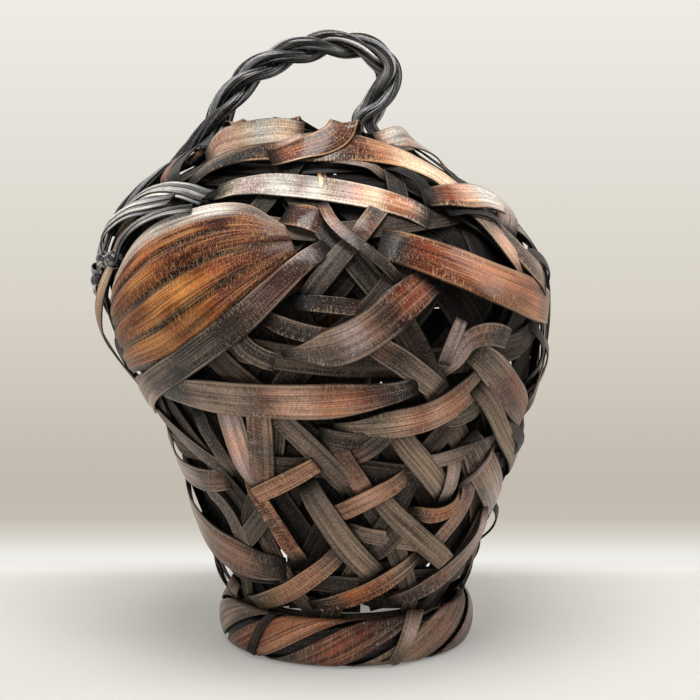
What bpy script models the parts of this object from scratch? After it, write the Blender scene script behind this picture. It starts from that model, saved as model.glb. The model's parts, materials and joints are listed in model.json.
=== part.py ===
# Ikebana basket, rough-plaited from split bamboo, with a lift-out water tube.
# The front is -Y, up is +Z, and the foot ring stands on Z = 0.
# Every strip is its own solid: it is laid out on the body's surface at its own layer.

import math

import bmesh
import bpy
import numpy as np
from mathutils import Vector

# Driving sizes, in metres
BODY_RADIUS = 0.1205
RIM_HEIGHT = 0.291
HANDLE_RISE = 0.0475
STRIP_THICKNESS = 0.001
LAYER_GAP = 0.0006
PLAIT_STRIP_WIDTH = 0.016
SWEEP_WIDTH = 0.020
SLIM_SWEEP_WIDTH = 0.013
HANDLE_PLY_RADIUS = 0.0036
TUBE_RADIUS = 0.024
TUBE_WALL = 0.003
FIT_GAP = 0.0003
SEGMENT_LENGTH = 0.0135

# Counts
PLAIT_STRIPS = 7
HOOP_COUNT = 4
HOOP_WAVE_STEPS = 7
FAN_RIDGES = 4
ROPE_TURNS = 2.5
PLY_COUNT = 3
FOOT_TWISTS = 3
FLOOR_SLATS = 3
ROUND_STEPS = 40

# Wall profile from the foot to the mouth: (share of BODY_RADIUS, share of RIM_HEIGHT)
PROFILE_SHARES = [
    (0.444, 0.027), (0.464, 0.069), (0.515, 0.107), (0.569, 0.144), (0.628, 0.213),
    (0.695, 0.296), (0.774, 0.388), (0.866, 0.485), (0.950, 0.577), (1.000, 0.660),
    (1.000, 0.725), (0.933, 0.794), (0.808, 0.856), (0.665, 0.904), (0.540, 0.938),
    (0.439, 0.969), (0.385, 1.000),
]

# The body leans: the foot sits to the right of the shoulder and the mouth to its left
FOOT_LEAN_SHARE = 0.098
MOUTH_LEAN_SHARE = -0.050
FOOT_LEAN_BAND_SHARES = (0.378, 0.704)
MOUTH_LEAN_BAND_SHARES = (0.687, 0.900)

# Heights along the wall, as shares of its length
PLAIT_FOOT_SHARE = 0.012
PLAIT_TOP_SHARE = 0.985
HOOP_FIRST_SHARE = 0.14
HOOP_STEP_SHARE = 0.22
RIM_HOOP_SHARE = 0.967

# Hand-made unevenness of the plait: (size, waves up the wall, waves around, start)
DRIFT_SHARES = [(0.010, 1.3, 1, 0.15), (0.006, 2.1, 2, 0.60)]
SAG_SHARES = [(0.016, 0.5, 2, 0.35), (0.009, 1.1, 3, 0.80)]

# How the plait strips narrow from the foot to the mouth
PLAIT_WIDTH_SHARES = [(0.0, 0.60), (0.25, 0.80), (0.6, 1.0), (0.85, 0.80), (1.0, 0.50)]

# Sweeps laid over the plait: name, colour, width share, (start, middle, end) widths, and the
# route as (turn share, height share, layer), where layer 1 lies on the plait
SWEEP_SHARES = [
    ("mouth_strip", "gold", 1.0, (0.6, 1.0, 0.8),
     [(-0.157, 0.871, 1.0), (-0.133, 0.922, 2.0), (-0.073, 0.963, 2.0), (0.011, 0.972, 2.0),
      (0.075, 0.965, 2.0), (0.132, 0.932, 2.0), (0.160, 0.893, 1.6), (0.170, 0.853, 1.2),
      (0.171, 0.798, 1.3), (0.173, 0.742, 2.0), (0.183, 0.691, 3.0), (0.205, 0.652, 3.0)]),
    ("neck_strip", "pale", 0.95, (0.7, 1.0, 0.9),
     [(-0.104, 0.856, 1.0), (-0.078, 0.870, 1.0), (-0.045, 0.878, 1.0), (0.010, 0.868, 1.0),
      (0.056, 0.846, 1.0), (0.086, 0.820, 1.0), (0.106, 0.794, 1.0)]),
    ("fan_keeper_strip", "brown", 0.80, (0.7, 1.0, 1.0),
     [(0.010, 0.752, 1.0), (-0.011, 0.717, 2.4), (-0.031, 0.677, 3.0), (-0.051, 0.639, 3.0),
      (-0.078, 0.596, 3.0), (-0.117, 0.545, 3.0), (-0.172, 0.488, 3.0), (-0.205, 0.450, 2.0)]),
    ("waist_sweep", "rose", 1.0, (0.7, 1.0, 0.8),
     [(-0.159, 0.501, 2.0), (-0.110, 0.501, 2.0), (-0.065, 0.501, 2.0), (-0.026, 0.502, 2.0),
      (0.011, 0.507, 2.0), (0.041, 0.516, 2.0), (0.062, 0.526, 2.0)]),
    ("waist_curve_right", "rose", 0.85, (0.7, 1.0, 0.7),
     [(-0.004, 0.452, 1.0), (0.035, 0.455, 1.0), (0.072, 0.467, 1.0), (0.101, 0.498, 1.0),
      (0.120, 0.535, 1.0), (0.126, 0.570, 1.0)]),
    ("shoulder_strip_right", "gold", 1.2, (0.9, 1.0, 0.8),
     [(0.050, 0.755, 1.2), (0.076, 0.730, 2.0), (0.103, 0.704, 2.0), (0.134, 0.672, 2.0),
      (0.175, 0.639, 2.0), (0.221, 0.610, 1.6)]),
    ("shoulder_crescent", "brown", 1.0, (0.5, 1.0, 0.9),
     [(-0.030, 0.582, 1.0), (-0.004, 0.589, 1.0), (0.017, 0.603, 1.0), (0.037, 0.629, 1.0),
      (0.055, 0.658, 1.0), (0.079, 0.690, 1.0)]),
    ("side_loop_left", "dark", 0.75, (0.7, 1.0, 0.7),
     [(-0.199, 0.805, 1.0), (-0.197, 0.745, 1.0), (-0.197, 0.690, 1.0), (-0.204, 0.634, 3.2),
      (-0.219, 0.580, 4.6), (-0.225, 0.535, 3.6), (-0.212, 0.470, 1.0), (-0.184, 0.448, 1.0)]),
    ("root_band", "black", 0.5, (0.8, 1.0, 0.8),
     [(-0.105, 0.832, 2.0), (-0.140, 0.842, 2.0), (-0.180, 0.838, 2.0), (-0.212, 0.815, 2.0),
      (-0.226, 0.775, 2.0), (-0.224, 0.732, 2.0), (-0.219, 0.695, 2.0)]),
    ("side_strip_right", "brown", 1.0, (0.7, 1.0, 0.8),
     [(0.105, 0.581, 2.0), (0.127, 0.540, 2.0), (0.155, 0.484, 2.0), (0.200, 0.415, 1.2)]),
    ("lower_strip_right", "rose", 0.95, (0.7, 1.0, 0.7),
     [(0.110, 0.415, 1.0), (0.138, 0.350, 1.0), (0.180, 0.285, 1.0), (0.220, 0.235, 1.0)]),
    ("lower_sweep_left", "brown", 1.3, (0.6, 1.0, 0.6),
     [(-0.245, 0.300, 1.0), (-0.222, 0.240, 2.4), (-0.175, 0.201, 2.6), (-0.125, 0.176, 1.6),
      (-0.070, 0.165, 1.0)]),
    ("lower_strip_left", "brown", 0.85, (0.9, 1.0, 0.5),
     [(-0.083, 0.500, 1.0), (-0.088, 0.440, 1.0), (-0.090, 0.381, 1.0), (-0.084, 0.315, 1.0)]),
    ("foot_sweep_middle", "gold", 0.6, (0.6, 1.0, 0.7),
     [(-0.046, 0.098, 1.0), (0.002, 0.116, 1.0), (0.044, 0.146, 1.0), (0.083, 0.192, 1.0)]),
    ("foot_sweep_right", "brown", 0.65, (0.6, 1.0, 0.7),
     [(0.052, 0.108, 2.0), (0.097, 0.128, 2.0), (0.140, 0.162, 2.0), (0.171, 0.205, 2.0),
      (0.172, 0.262, 2.0)]),
    ("back_shoulder_strip", "gold", 1.1, (0.8, 1.0, 0.8),
     [(0.250, 0.700, 1.0), (0.330, 0.735, 1.0), (0.420, 0.715, 1.0), (0.510, 0.730, 1.0),
      (0.590, 0.765, 1.0), (0.655, 0.740, 1.0)]),
    ("back_waist_sweep", "rose", 1.0, (0.7, 1.0, 0.7),
     [(0.270, 0.600, 1.0), (0.350, 0.545, 1.0), (0.440, 0.520, 1.0), (0.540, 0.560, 1.0),
      (0.640, 0.630, 1.0)]),
    ("back_lower_sweep", "brown", 0.9, (0.7, 1.0, 0.7),
     [(0.290, 0.350, 1.0), (0.380, 0.270, 1.0), (0.480, 0.270, 1.0), (0.580, 0.350, 1.0),
      (0.680, 0.440, 1.0)]),
    ("back_foot_sweep", "brown", 0.6, (0.6, 1.0, 0.7),
     [(0.330, 0.160, 1.0), (0.430, 0.115, 1.0), (0.530, 0.115, 1.0), (0.630, 0.165, 1.0)]),
]

# The fluted fan on the left shoulder, between an upper and a lower edge
FAN_TOP_SHARES = [(-0.176, 0.680), (-0.159, 0.745), (-0.138, 0.783), (-0.097, 0.821), (-0.058, 0.825),
                  (-0.022, 0.785)]
FAN_LOW_SHARES = [(-0.208, 0.500), (-0.128, 0.549), (-0.091, 0.589), (-0.067, 0.630), (-0.048, 0.670),
                  (-0.013, 0.735)]
FAN_ROWS = 12
FAN_RIDGE_STEPS = 4
FAN_RIDGE_SHARE = 0.9

# A binding laps over the rim: (turn share, share of the way to its top, level), where level
# -1 is inside the mouth and 1 is outside the outermost strip that it holds
BINDING_SHARES = [(0.030, -0.35, -1.0), (0.029, 0.25, -1.0), (0.027, 0.85, -0.8), (0.024, 1.06, 0.1),
                  (0.018, 1.02, 0.92), (0.008, 0.60, 1.0), (-0.018, 0.00, 1.0), (-0.044, -0.70, 1.0)]
# Each binding: (turn share, layer under it, height share of its top, slant)
BINDING_PLACE_SHARES = {"rim_binding_front": (0.022, 3, 1.030, 2.0), "rim_binding_left": (-0.335, 0, 1.000, 1.0),
                        "rim_binding_back": (0.535, 0, 1.000, 1.0)}
BINDING_FOOT_SHARE = 0.965

# The handle: roots on the wall as (turn share, height share), and the loop in its own
# upright plane as (share of the span between the feet, share of HANDLE_RISE)
LEFT_ROOT_SHARES = [(-0.268, 0.715), (-0.272, 0.760), (-0.276, 0.808), (-0.284, 0.858), (-0.291, 0.896)]
RIGHT_ROOT_SHARES = [(0.425, 0.915), (0.416, 0.865), (0.406, 0.820), (0.398, 0.780)]
HANDLE_FEET_SHARES = ((-0.298, 0.925), (0.430, 0.965))
HANDLE_FOOT_LIFT_SHARE = 1.5
PLY_LOOSE_SHARE = 1.12
LOOP_SHARES = [(0.000, 0.000), (0.100, 0.090), (0.176, 0.345), (0.281, 0.625), (0.424, 0.814),
               (0.607, 0.948), (0.802, 1.000), (0.981, 0.945), (1.115, 0.786), (1.165, 0.617),
               (1.140, 0.400), (1.085, 0.190), (1.000, 0.000)]

# The foot ring and the floor, as shares of BODY_RADIUS and of RIM_HEIGHT
FOOT_RADIUS_SHARE = 0.556
FOOT_HALF_WIDTH_SHARE = 0.047
FOOT_HALF_HEIGHT_SHARE = 0.045
FOOT_CUT_SHARE = 0.06
FOOT_CORE_SHARE = 0.80
FOOT_BAND_SHARE = 0.80
FOOT_TIE_TURN_SHARES = {"foot_tie_left": -0.115, "foot_tie_right": 0.075}
FOOT_TIE_ARC_SHARES = (0.27, -0.20)
FOOT_TIE_SLANT_SHARE = 0.05
FOOT_TIE_WIDTH_SHARE = 0.55
BASE_HOOP_SHARES = (0.028, 0.062)
FLOOR_SPACING_SHARE = 0.20
FLOOR_WIDTH_SHARE = 0.80
FLOOR_STEPS = 16

# The water tube: its place as shares of BODY_RADIUS, and its height as a share of RIM_HEIGHT
TUBE_PLACE_SHARES = (0.015, -0.095)
TUBE_HEIGHT_SHARE = 0.56
TUBE_FLOOR_SHARE = 1.4
TUBE_JOINT_HEIGHT_SHARE = 0.62
TUBE_JOINT_SHARE = 0.35
TUBE_EDGE_SHARE = 0.3

COLOUR_SHARES = {
    "gold": (0.36, 0.14, 0.045), "brown": (0.17, 0.065, 0.03), "rose": (0.27, 0.15, 0.10),
    "pale": (0.50, 0.36, 0.26), "dark": (0.025, 0.018, 0.014), "grey": (0.16, 0.12, 0.085),
    "black": (0.018, 0.015, 0.014), "green": (0.42, 0.36, 0.17),
}
ROUGHNESS_SHARES = {
    "gold": 0.3, "brown": 0.35, "rose": 0.5, "pale": 0.4, "dark": 0.4, "grey": 0.6, "black": 0.45,
    "green": 0.4,
}

HALF_SHARE = 0.5
FULL_TURN = 2 * math.pi
WELD = 0.00001
SMALL_SHARE = 0.001

# Derived layers, measured outwards from the inner face of the plait
PLAIT_SWING = 0.75 * (STRIP_THICKNESS + LAYER_GAP)
PLAIT_OUT = 2 * PLAIT_SWING + STRIP_THICKNESS
LAYER_STEP = STRIP_THICKNESS + LAYER_GAP
RIM_INNER_OUT = FIT_GAP - STRIP_THICKNESS
RIM_OUTER_OUT = PLAIT_OUT
PLAIT_SLOPE_SHARE = 1 / (2 * PLAIT_STRIPS * HOOP_STEP_SHARE)


# Start from an empty scene, with one collection for the basket and one for its cutters
for thing in list(bpy.data.objects):
    bpy.data.objects.remove(thing, do_unlink=True)

basket_set = bpy.data.collections.new("ikebana_basket")
cutter_set = bpy.data.collections.new("cutters")
bpy.context.scene.collection.children.link(basket_set)
bpy.context.scene.collection.children.link(cutter_set)


def make_material(part_name, colour_name):
    """Each piece has its own material."""
    material = bpy.data.materials.new(part_name)
    material.use_nodes = True
    shader = material.node_tree.nodes["Principled BSDF"]
    shader.inputs["Base Color"].default_value = (*COLOUR_SHARES[colour_name], 1.0)
    shader.inputs["Roughness"].default_value = ROUGHNESS_SHARES[colour_name]
    return material


def add_object(name, data, colour_name, collection=basket_set):
    """Put a mesh or a curve in the scene under its name, with its material."""
    made = bpy.data.objects.new(name, data)
    collection.objects.link(made)
    data.materials.append(make_material(name, colour_name))
    return made


def ease(value):
    """Run smoothly from 0 to 1."""
    value = min(1.0, max(0.0, value))
    return value * value * (3 - 2 * value)


def follow(points, share):
    """A smooth route through hand-placed points, at a share of their number."""
    last = len(points) - 1
    index = min(int(max(share, 0.0) * last), last - 1)
    step = share * last - index
    near = [np.array(points[min(max(index + k, 0), last)], float) for k in (-1, 0, 1, 2)]
    if index == 0:
        near[0] = 2 * near[1] - near[2]
    if index == last - 1:
        near[3] = 2 * near[2] - near[1]
    first = (near[2] - near[0]) * step
    second = (2 * near[0] - 5 * near[1] + 4 * near[2] - near[3]) * step ** 2
    third = (3 * near[1] - near[0] - 3 * near[2] + near[3]) * step ** 3
    return near[1] + HALF_SHARE * (first + second + third)


def even_shares(route, samples=200):
    """Return a function that turns an even share of a route's length into its own share."""
    shares = np.linspace(0.0, 1.0, samples + 1)
    spots = np.array([place(*route(share)) for share in shares])
    lengths = np.concatenate([[0.0], np.cumsum(np.linalg.norm(np.diff(spots, axis=0), axis=1))])
    return lengths[-1], lambda share: float(np.interp(share * lengths[-1], lengths, shares))


# The wall's profile, measured along its length
PROFILE_POINTS = [(a * BODY_RADIUS, b * RIM_HEIGHT) for a, b in PROFILE_SHARES]
FINE_PROFILE = np.array([follow(PROFILE_POINTS, k / 400) for k in range(401)])
PROFILE_STEPS = np.linalg.norm(np.diff(FINE_PROFILE, axis=0), axis=1)
PROFILE_ALONG = np.concatenate([[0.0], np.cumsum(PROFILE_STEPS)])
WALL_LENGTH = PROFILE_ALONG[-1]


def profile(height_share):
    """Radius and height at a share of the wall's length; past its ends it runs on straight."""
    along = height_share * WALL_LENGTH
    radius = np.interp(along, PROFILE_ALONG, FINE_PROFILE[:, 0])
    height = np.interp(along, PROFILE_ALONG, FINE_PROFILE[:, 1])
    for past, near, far in ((along - WALL_LENGTH, -1, -2), (-along, 0, 1)):
        if past > 0:
            run = FINE_PROFILE[near] - FINE_PROFILE[far]
            run /= np.linalg.norm(run)
            radius = FINE_PROFILE[near][0] + run[0] * past
            height = FINE_PROFILE[near][1] + run[1] * past
    return np.array([radius, height])


def lean(height):
    """Sideways shift of the body's axis at a height."""
    share = height / RIM_HEIGHT
    low, high = FOOT_LEAN_BAND_SHARES
    foot = FOOT_LEAN_SHARE * (1 - ease((share - low) / (high - low)))
    low, high = MOUTH_LEAN_BAND_SHARES
    mouth = MOUTH_LEAN_SHARE * ease((share - low) / (high - low))
    return BODY_RADIUS * (foot + mouth)


def place(turn, rise, out=0.0):
    """A point of the wall: turns from the front to the right, share of the wall's length, offset."""
    spot = profile(rise)
    run = profile(rise + SMALL_SHARE) - profile(rise - SMALL_SHARE)
    run /= np.linalg.norm(run)
    radius = spot[0] + run[1] * out
    height = spot[1] - run[0] * out
    angle = FULL_TURN * turn
    return np.array([lean(height) + radius * math.sin(angle), -radius * math.cos(angle), height])


def sheet_axes(turn, rise, out):
    """The wall's two directions and its outward normal at a place."""
    around = place(turn + SMALL_SHARE, rise, out) - place(turn - SMALL_SHARE, rise, out)
    upward = place(turn, rise + SMALL_SHARE, out) - place(turn, rise - SMALL_SHARE, out)
    around /= 2 * SMALL_SHARE
    upward /= 2 * SMALL_SHARE
    normal = np.cross(around, upward)
    return around, upward, normal / np.linalg.norm(normal)


def beside(turn, rise, out, heading, distance):
    """The place at a distance beside a route, measured over the wall."""
    around, upward, normal = sheet_axes(turn, rise, out)
    side = np.cross(normal, heading)
    side /= np.linalg.norm(side)
    metric = np.array([[around @ around, around @ upward], [around @ upward, upward @ upward]])
    moved = np.linalg.solve(metric, np.array([around @ side, upward @ side])) * distance
    return place(turn + moved[0], rise + moved[1], out)


def thicken(made, thickness):
    """Give a sheet its thickness, outwards from the face that was laid out."""
    solid = made.modifiers.new("thickness", "SOLIDIFY")
    solid.thickness = thickness
    solid.offset = 1.0
    return solid


def mapped_sheet(name, colour_name, steps, columns, spot, outward, closed=False, thickness=STRIP_THICKNESS):
    """Lay a grid out with spot(along, across), face it outward and thicken it."""
    sheet = bmesh.new()
    bmesh.ops.create_grid(sheet, x_segments=steps, y_segments=columns, size=HALF_SHARE)
    for corner in sheet.verts:
        corner.co = Vector(spot(corner.co.x + HALF_SHARE, 2 * corner.co.y))
    if closed:
        bmesh.ops.remove_doubles(sheet, verts=sheet.verts, dist=WELD)
    sheet.normal_update()
    sheet.faces.ensure_lookup_table()
    first = sheet.faces[0]
    if first.normal.dot(Vector(outward(first.calc_center_median()))) < 0:
        bmesh.ops.reverse_faces(sheet, faces=sheet.faces)
    mesh = bpy.data.meshes.new(name)
    sheet.to_mesh(mesh)
    sheet.free()
    made = add_object(name, mesh, colour_name)
    thicken(made, thickness)
    return made


def from_axis(centre_x=0.0):
    """Outward means away from the upright axis; the lean is small beside the radius."""
    def outward(centre):
        return (centre[0] - centre_x, centre[1], 0.0)
    return outward


def strip_on_wall(name, colour_name, route, width_at, columns=2, closed=False, steps=None):
    """A strip that follows route(share) -> (turn, rise, out), bent to the wall over its width."""
    length, to_share = even_shares(route)
    steps = steps or max(4, round(length / SEGMENT_LENGTH))

    def spot(along, across):
        share = to_share(along)
        turn, rise, out = route(share)
        before = place(*route(share - SMALL_SHARE))
        after = place(*route(share + SMALL_SHARE))
        return beside(turn, rise, out, after - before, across * HALF_SHARE * width_at(share))

    middle = place(*route(to_share(HALF_SHARE / steps)))
    normal = sheet_axes(*route(to_share(HALF_SHARE / steps)))[2]
    return mapped_sheet(name, colour_name, steps, columns, spot, lambda centre: normal, closed)


# The plait: two families of slanting strips and level hoops, each over one of the others
def flat_wave(angle):
    """A wave with flattened crests, so that crossing strips lie well apart."""
    return max(-1.0, min(1.0, 1.5 * math.cos(angle)))


def drift(turn, rise):
    """Unevenness of hand work; all plait strips share it, so their crossings stay in step."""
    angle = FULL_TURN * turn
    moved_turn = turn
    moved_rise = rise
    calm = math.sin(math.pi * min(1.0, max(0.0, rise)))
    for size, up, around, start in DRIFT_SHARES:
        moved_turn += size * calm * math.sin(around * angle + FULL_TURN * (up * rise + start))
    for size, up, around, start in SAG_SHARES:
        moved_rise += size * calm * math.sin(around * angle + FULL_TURN * (up * rise + start))
    return moved_turn, moved_rise


def plait_width(rise):
    shares = np.array(PLAIT_WIDTH_SHARES)
    return PLAIT_STRIP_WIDTH * float(np.interp(rise, shares[:, 0], shares[:, 1]))


def plait_rise(share):
    return PLAIT_FOOT_SHARE + share * (PLAIT_TOP_SHARE - PLAIT_FOOT_SHARE)


def slanting_route(index, direction):
    """One slanting strip: direction 1 climbs to the right and -1 to the left."""
    start = index / PLAIT_STRIPS if direction > 0 else (index + HALF_SHARE) / PLAIT_STRIPS

    def route(share):
        rise = plait_rise(share)
        row = (rise - HOOP_FIRST_SHARE) / HOOP_STEP_SHARE
        turn = start + direction * PLAIT_SLOPE_SHARE * (rise - HOOP_FIRST_SHARE)
        out = PLAIT_SWING * (1 - direction * flat_wave(FULL_TURN * row))
        return (*drift(turn, rise), out)
    return route


def hoop_route(row):
    """One level hoop, over the right-hand family and under the other."""
    rise = HOOP_FIRST_SHARE + row * HOOP_STEP_SHARE

    def route(share):
        crossing = share * PLAIT_STRIPS
        turn = (crossing + HALF_SHARE * row) / PLAIT_STRIPS
        out = PLAIT_SWING * (1 + flat_wave(FULL_TURN * crossing))
        return (*drift(turn, rise), out)
    return route


for index in range(PLAIT_STRIPS):
    strip_on_wall(f"rising_strip_{index + 1}", "grey", slanting_route(index, 1),
                  lambda share: plait_width(plait_rise(share)), columns=1)
    strip_on_wall(f"leaning_strip_{index + 1}", "grey", slanting_route(index, -1),
                  lambda share: plait_width(plait_rise(share)), columns=1)

for row in range(HOOP_COUNT):
    hoop_width = plait_width(HOOP_FIRST_SHARE + row * HOOP_STEP_SHARE)
    strip_on_wall(f"wall_hoop_{row + 1}", "grey", hoop_route(row), lambda share: hoop_width,
                  columns=1, closed=True, steps=PLAIT_STRIPS * HOOP_WAVE_STEPS)


# The sweeps over the plait
def layer_out(layer):
    """Offset of a layer's inner face from the inner face of the plait."""
    return PLAIT_OUT + LAYER_GAP + (layer - 1) * LAYER_STEP


def sweep_route(points):
    def route(share):
        turn, rise, layer = follow(points, share)
        return turn, rise, layer_out(layer)
    return route


def tapered(width, ends):
    """Width of a strip that narrows towards its ends."""
    def width_at(share):
        start, middle, end = ends
        near_start = start + (middle - start) * ease(3 * share)
        near_end = end + (middle - end) * ease(3 * (1 - share))
        return width * min(near_start, near_end)
    return width_at


for sweep_name, colour_name, width_share, ends, points in SWEEP_SHARES:
    strip_on_wall(sweep_name, colour_name, sweep_route(points),
                  tapered(SWEEP_WIDTH * width_share, ends), columns=2)


# The fan: a length of culm pressed flat, its flutes running together to the right
def fan_spot(along, across):
    level = (across + 1) * HALF_SHARE
    top = follow(FAN_TOP_SHARES, along)
    low = follow(FAN_LOW_SHARES, along)
    turn, rise = low + (top - low) * level
    ridge = HALF_SHARE * (1 - math.cos(FULL_TURN * FAN_RIDGES * level))
    out = PLAIT_OUT + LAYER_GAP + FAN_RIDGE_SHARE * LAYER_STEP * ridge
    return place(turn, rise, out)


mapped_sheet("fluted_fan", "gold", FAN_ROWS, FAN_RIDGES * FAN_RIDGE_STEPS, fan_spot, from_axis())


# The rim: a hoop inside and a hoop outside grip the tops of the plait, and bindings lap over them
for hoop_name, out in (("rim_hoop_inner", RIM_INNER_OUT), ("rim_hoop_outer", RIM_OUTER_OUT)):
    strip_on_wall(hoop_name, "brown", lambda share: (share, RIM_HOOP_SHARE, out),
                  lambda share: HALF_SHARE * SLIM_SWEEP_WIDTH, columns=1, closed=True, steps=ROUND_STEPS)


def binding_spot(turn_from, layer, top_share, slant):
    inside = RIM_INNER_OUT - 2 * FIT_GAP
    outside = max(RIM_OUTER_OUT + STRIP_THICKNESS + 2 * FIT_GAP, layer_out(layer))

    def spot(along, across):
        turn, climb, level = follow(BINDING_SHARES, along)
        rise = BINDING_FOOT_SHARE + climb * (top_share - BINDING_FOOT_SHARE)
        out = inside + (outside - inside) * HALF_SHARE * (level + 1)
        turn = turn_from + slant * turn
        half_turn = HALF_SHARE * SLIM_SWEEP_WIDTH / (FULL_TURN * profile(rise)[0])
        return place(turn + half_turn * across, rise, out)
    return spot


for binding_name, binding_place in BINDING_PLACE_SHARES.items():
    spot = binding_spot(*binding_place)
    first = Vector(spot(0.0, 0.0))
    inwards = Vector((BODY_RADIUS * MOUTH_LEAN_SHARE, 0.0, first.z)) - first
    mapped_sheet(binding_name, "brown", 14, 1, spot, lambda centre: inwards)


# The foot ring: a core hoop, flat bands twisted round it, and two ties
FOOT_X = BODY_RADIUS * FOOT_LEAN_SHARE
FOOT_RADIUS = BODY_RADIUS * FOOT_RADIUS_SHARE
FOOT_HALF_WIDTH = BODY_RADIUS * FOOT_HALF_WIDTH_SHARE
FOOT_HALF_HEIGHT = RIM_HEIGHT * FOOT_HALF_HEIGHT_SHARE
FOOT_MIDDLE = FOOT_HALF_HEIGHT * (1 - FOOT_CUT_SHARE) + STRIP_THICKNESS


def ring_spot(turn, section_turn, grow=0.0):
    """A point on the ring's oval section, outermost at section turn 0 and highest at 0.25."""
    angle = FULL_TURN * section_turn
    radius = FOOT_RADIUS + (FOOT_HALF_WIDTH + grow) * math.cos(angle)
    height = FOOT_MIDDLE + (FOOT_HALF_HEIGHT + grow) * math.sin(angle)
    angle = FULL_TURN * turn
    return np.array([FOOT_X + radius * math.sin(angle), -radius * math.cos(angle), height])


def ring_outward(turn, section_turn):
    return Vector(ring_spot(turn, section_turn, FIT_GAP) - ring_spot(turn, section_turn))


core = bmesh.new()
bmesh.ops.create_grid(core, x_segments=ROUND_STEPS, y_segments=8, size=HALF_SHARE)
for corner in core.verts:
    angle = FULL_TURN * (corner.co.y + HALF_SHARE)
    radius = FOOT_RADIUS + FOOT_CORE_SHARE * FOOT_HALF_WIDTH * math.cos(angle)
    height = FOOT_MIDDLE + FOOT_CORE_SHARE * FOOT_HALF_HEIGHT * math.sin(angle)
    turn = FULL_TURN * corner.co.x
    corner.co = Vector((FOOT_X + radius * math.sin(turn), -radius * math.cos(turn), height))
bmesh.ops.remove_doubles(core, verts=core.verts, dist=WELD)
bmesh.ops.recalc_face_normals(core, faces=core.faces)
core_mesh = bpy.data.meshes.new("foot_core_hoop")
core.to_mesh(core_mesh)
core.free()
add_object("foot_core_hoop", core_mesh, "dark")

floor_cutter_mesh = bpy.data.meshes.new("table_cutter")
table = bmesh.new()
bmesh.ops.create_cube(table, size=1)
for corner in table.verts:
    corner.co = Vector((2 * corner.co.x * BODY_RADIUS, 2 * corner.co.y * BODY_RADIUS,
                        (corner.co.z - HALF_SHARE) * FOOT_HALF_HEIGHT))
table.to_mesh(floor_cutter_mesh)
table.free()
table_cutter = add_object("table_cutter", floor_cutter_mesh, "grey", cutter_set)
table_cutter.hide_render = True
table_cutter.display_type = "WIRE"


def cut_flat(made):
    """Flatten what lies below the table plane."""
    cut = made.modifiers.new("flat_foot", "BOOLEAN")
    cut.operation = "DIFFERENCE"
    cut.solver = "EXACT"
    cut.object = table_cutter


for index in range(PLY_COUNT):
    def twist_spot(along, across, index=index):
        section = index / PLY_COUNT + FOOT_TWISTS * along + across * HALF_SHARE * FOOT_BAND_SHARE / PLY_COUNT
        return ring_spot(along, section)

    first_outward = ring_outward(HALF_SHARE / 44, index / PLY_COUNT + FOOT_TWISTS * HALF_SHARE / 44)
    band = mapped_sheet(f"foot_twist_{index + 1}", ("gold", "brown", "rose")[index], 44, 3, twist_spot,
                        lambda centre: first_outward, closed=True)
    cut_flat(band)

for tie_name, tie_turn in FOOT_TIE_TURN_SHARES.items():
    def tie_spot(along, across, tie_turn=tie_turn):
        start, end = FOOT_TIE_ARC_SHARES
        section = start + (end - start) * along
        lean_turn = FOOT_TIE_SLANT_SHARE * (along - HALF_SHARE)
        half_turn = HALF_SHARE * FOOT_TIE_WIDTH_SHARE * SLIM_SWEEP_WIDTH / (FULL_TURN * FOOT_RADIUS)
        return ring_spot(tie_turn - lean_turn + half_turn * across, section, LAYER_STEP)

    tie_outward = ring_outward(tie_turn, FOOT_TIE_ARC_SHARES[0])
    cut_flat(mapped_sheet(tie_name, "dark", 12, 1, tie_spot, lambda centre: tie_outward))


# The floor: a hoop inside the plait's foot carries slats plaited over and under
BASE_HOOP_LOW, BASE_HOOP_HIGH = BASE_HOOP_SHARES
BASE_HOOP_OUT = -STRIP_THICKNESS - 2 * LAYER_GAP


def base_hoop_spot(along, across):
    rise = BASE_HOOP_LOW + (BASE_HOOP_HIGH - BASE_HOOP_LOW) * (across + 1) * HALF_SHARE
    return place(along, rise, BASE_HOOP_OUT)


mapped_sheet("base_hoop", "grey", ROUND_STEPS, 1, base_hoop_spot, from_axis(FOOT_X), closed=True)

FLOOR_TOP_OF_HOOP = place(0.0, BASE_HOOP_HIGH, BASE_HOOP_OUT)[2]
FLOOR_HEIGHT = FLOOR_TOP_OF_HOOP + FIT_GAP + PLAIT_SWING
FLOOR_REACH = profile(BASE_HOOP_HIGH)[0] - STRIP_THICKNESS
FLOOR_SPACING = BODY_RADIUS * FLOOR_SPACING_SHARE
FLOOR_HALF_WIDTH = HALF_SHARE * FLOOR_WIDTH_SHARE * SWEEP_WIDTH


def floor_slat(name, number, crosswise):
    """One floor slat; the crosswise ones go under where the long ones go over."""
    middle = (number - (FLOOR_SLATS - 1) * HALF_SHARE) * FLOOR_SPACING
    inner = math.sqrt(max(FLOOR_REACH ** 2 - (abs(middle) + FLOOR_HALF_WIDTH) ** 2, 0.0))
    sign = 1 if (number % 2 == 0) != crosswise else -1

    def spot(along, across):
        run = (2 * along - 1) * inner
        aside = middle + across * FLOOR_HALF_WIDTH
        last = FLOOR_SPACING + FLOOR_HALF_WIDTH
        lie_down = ease(2 * (abs(run) - last) / (inner - last))
        swing = sign * flat_wave(math.pi * run / FLOOR_SPACING) * (1 - lie_down) - lie_down
        height = FLOOR_HEIGHT + PLAIT_SWING * swing
        if crosswise:
            return (FOOT_X + aside, run, height)
        return (FOOT_X + run, aside, height)
    return mapped_sheet(name, "grey", FLOOR_STEPS, 1, spot, lambda centre: (0.0, 0.0, 1.0))


for number in range(FLOOR_SLATS):
    floor_slat(f"floor_slat_long_{number + 1}", number, False)
    floor_slat(f"floor_slat_cross_{number + 1}", number, True)


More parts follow.
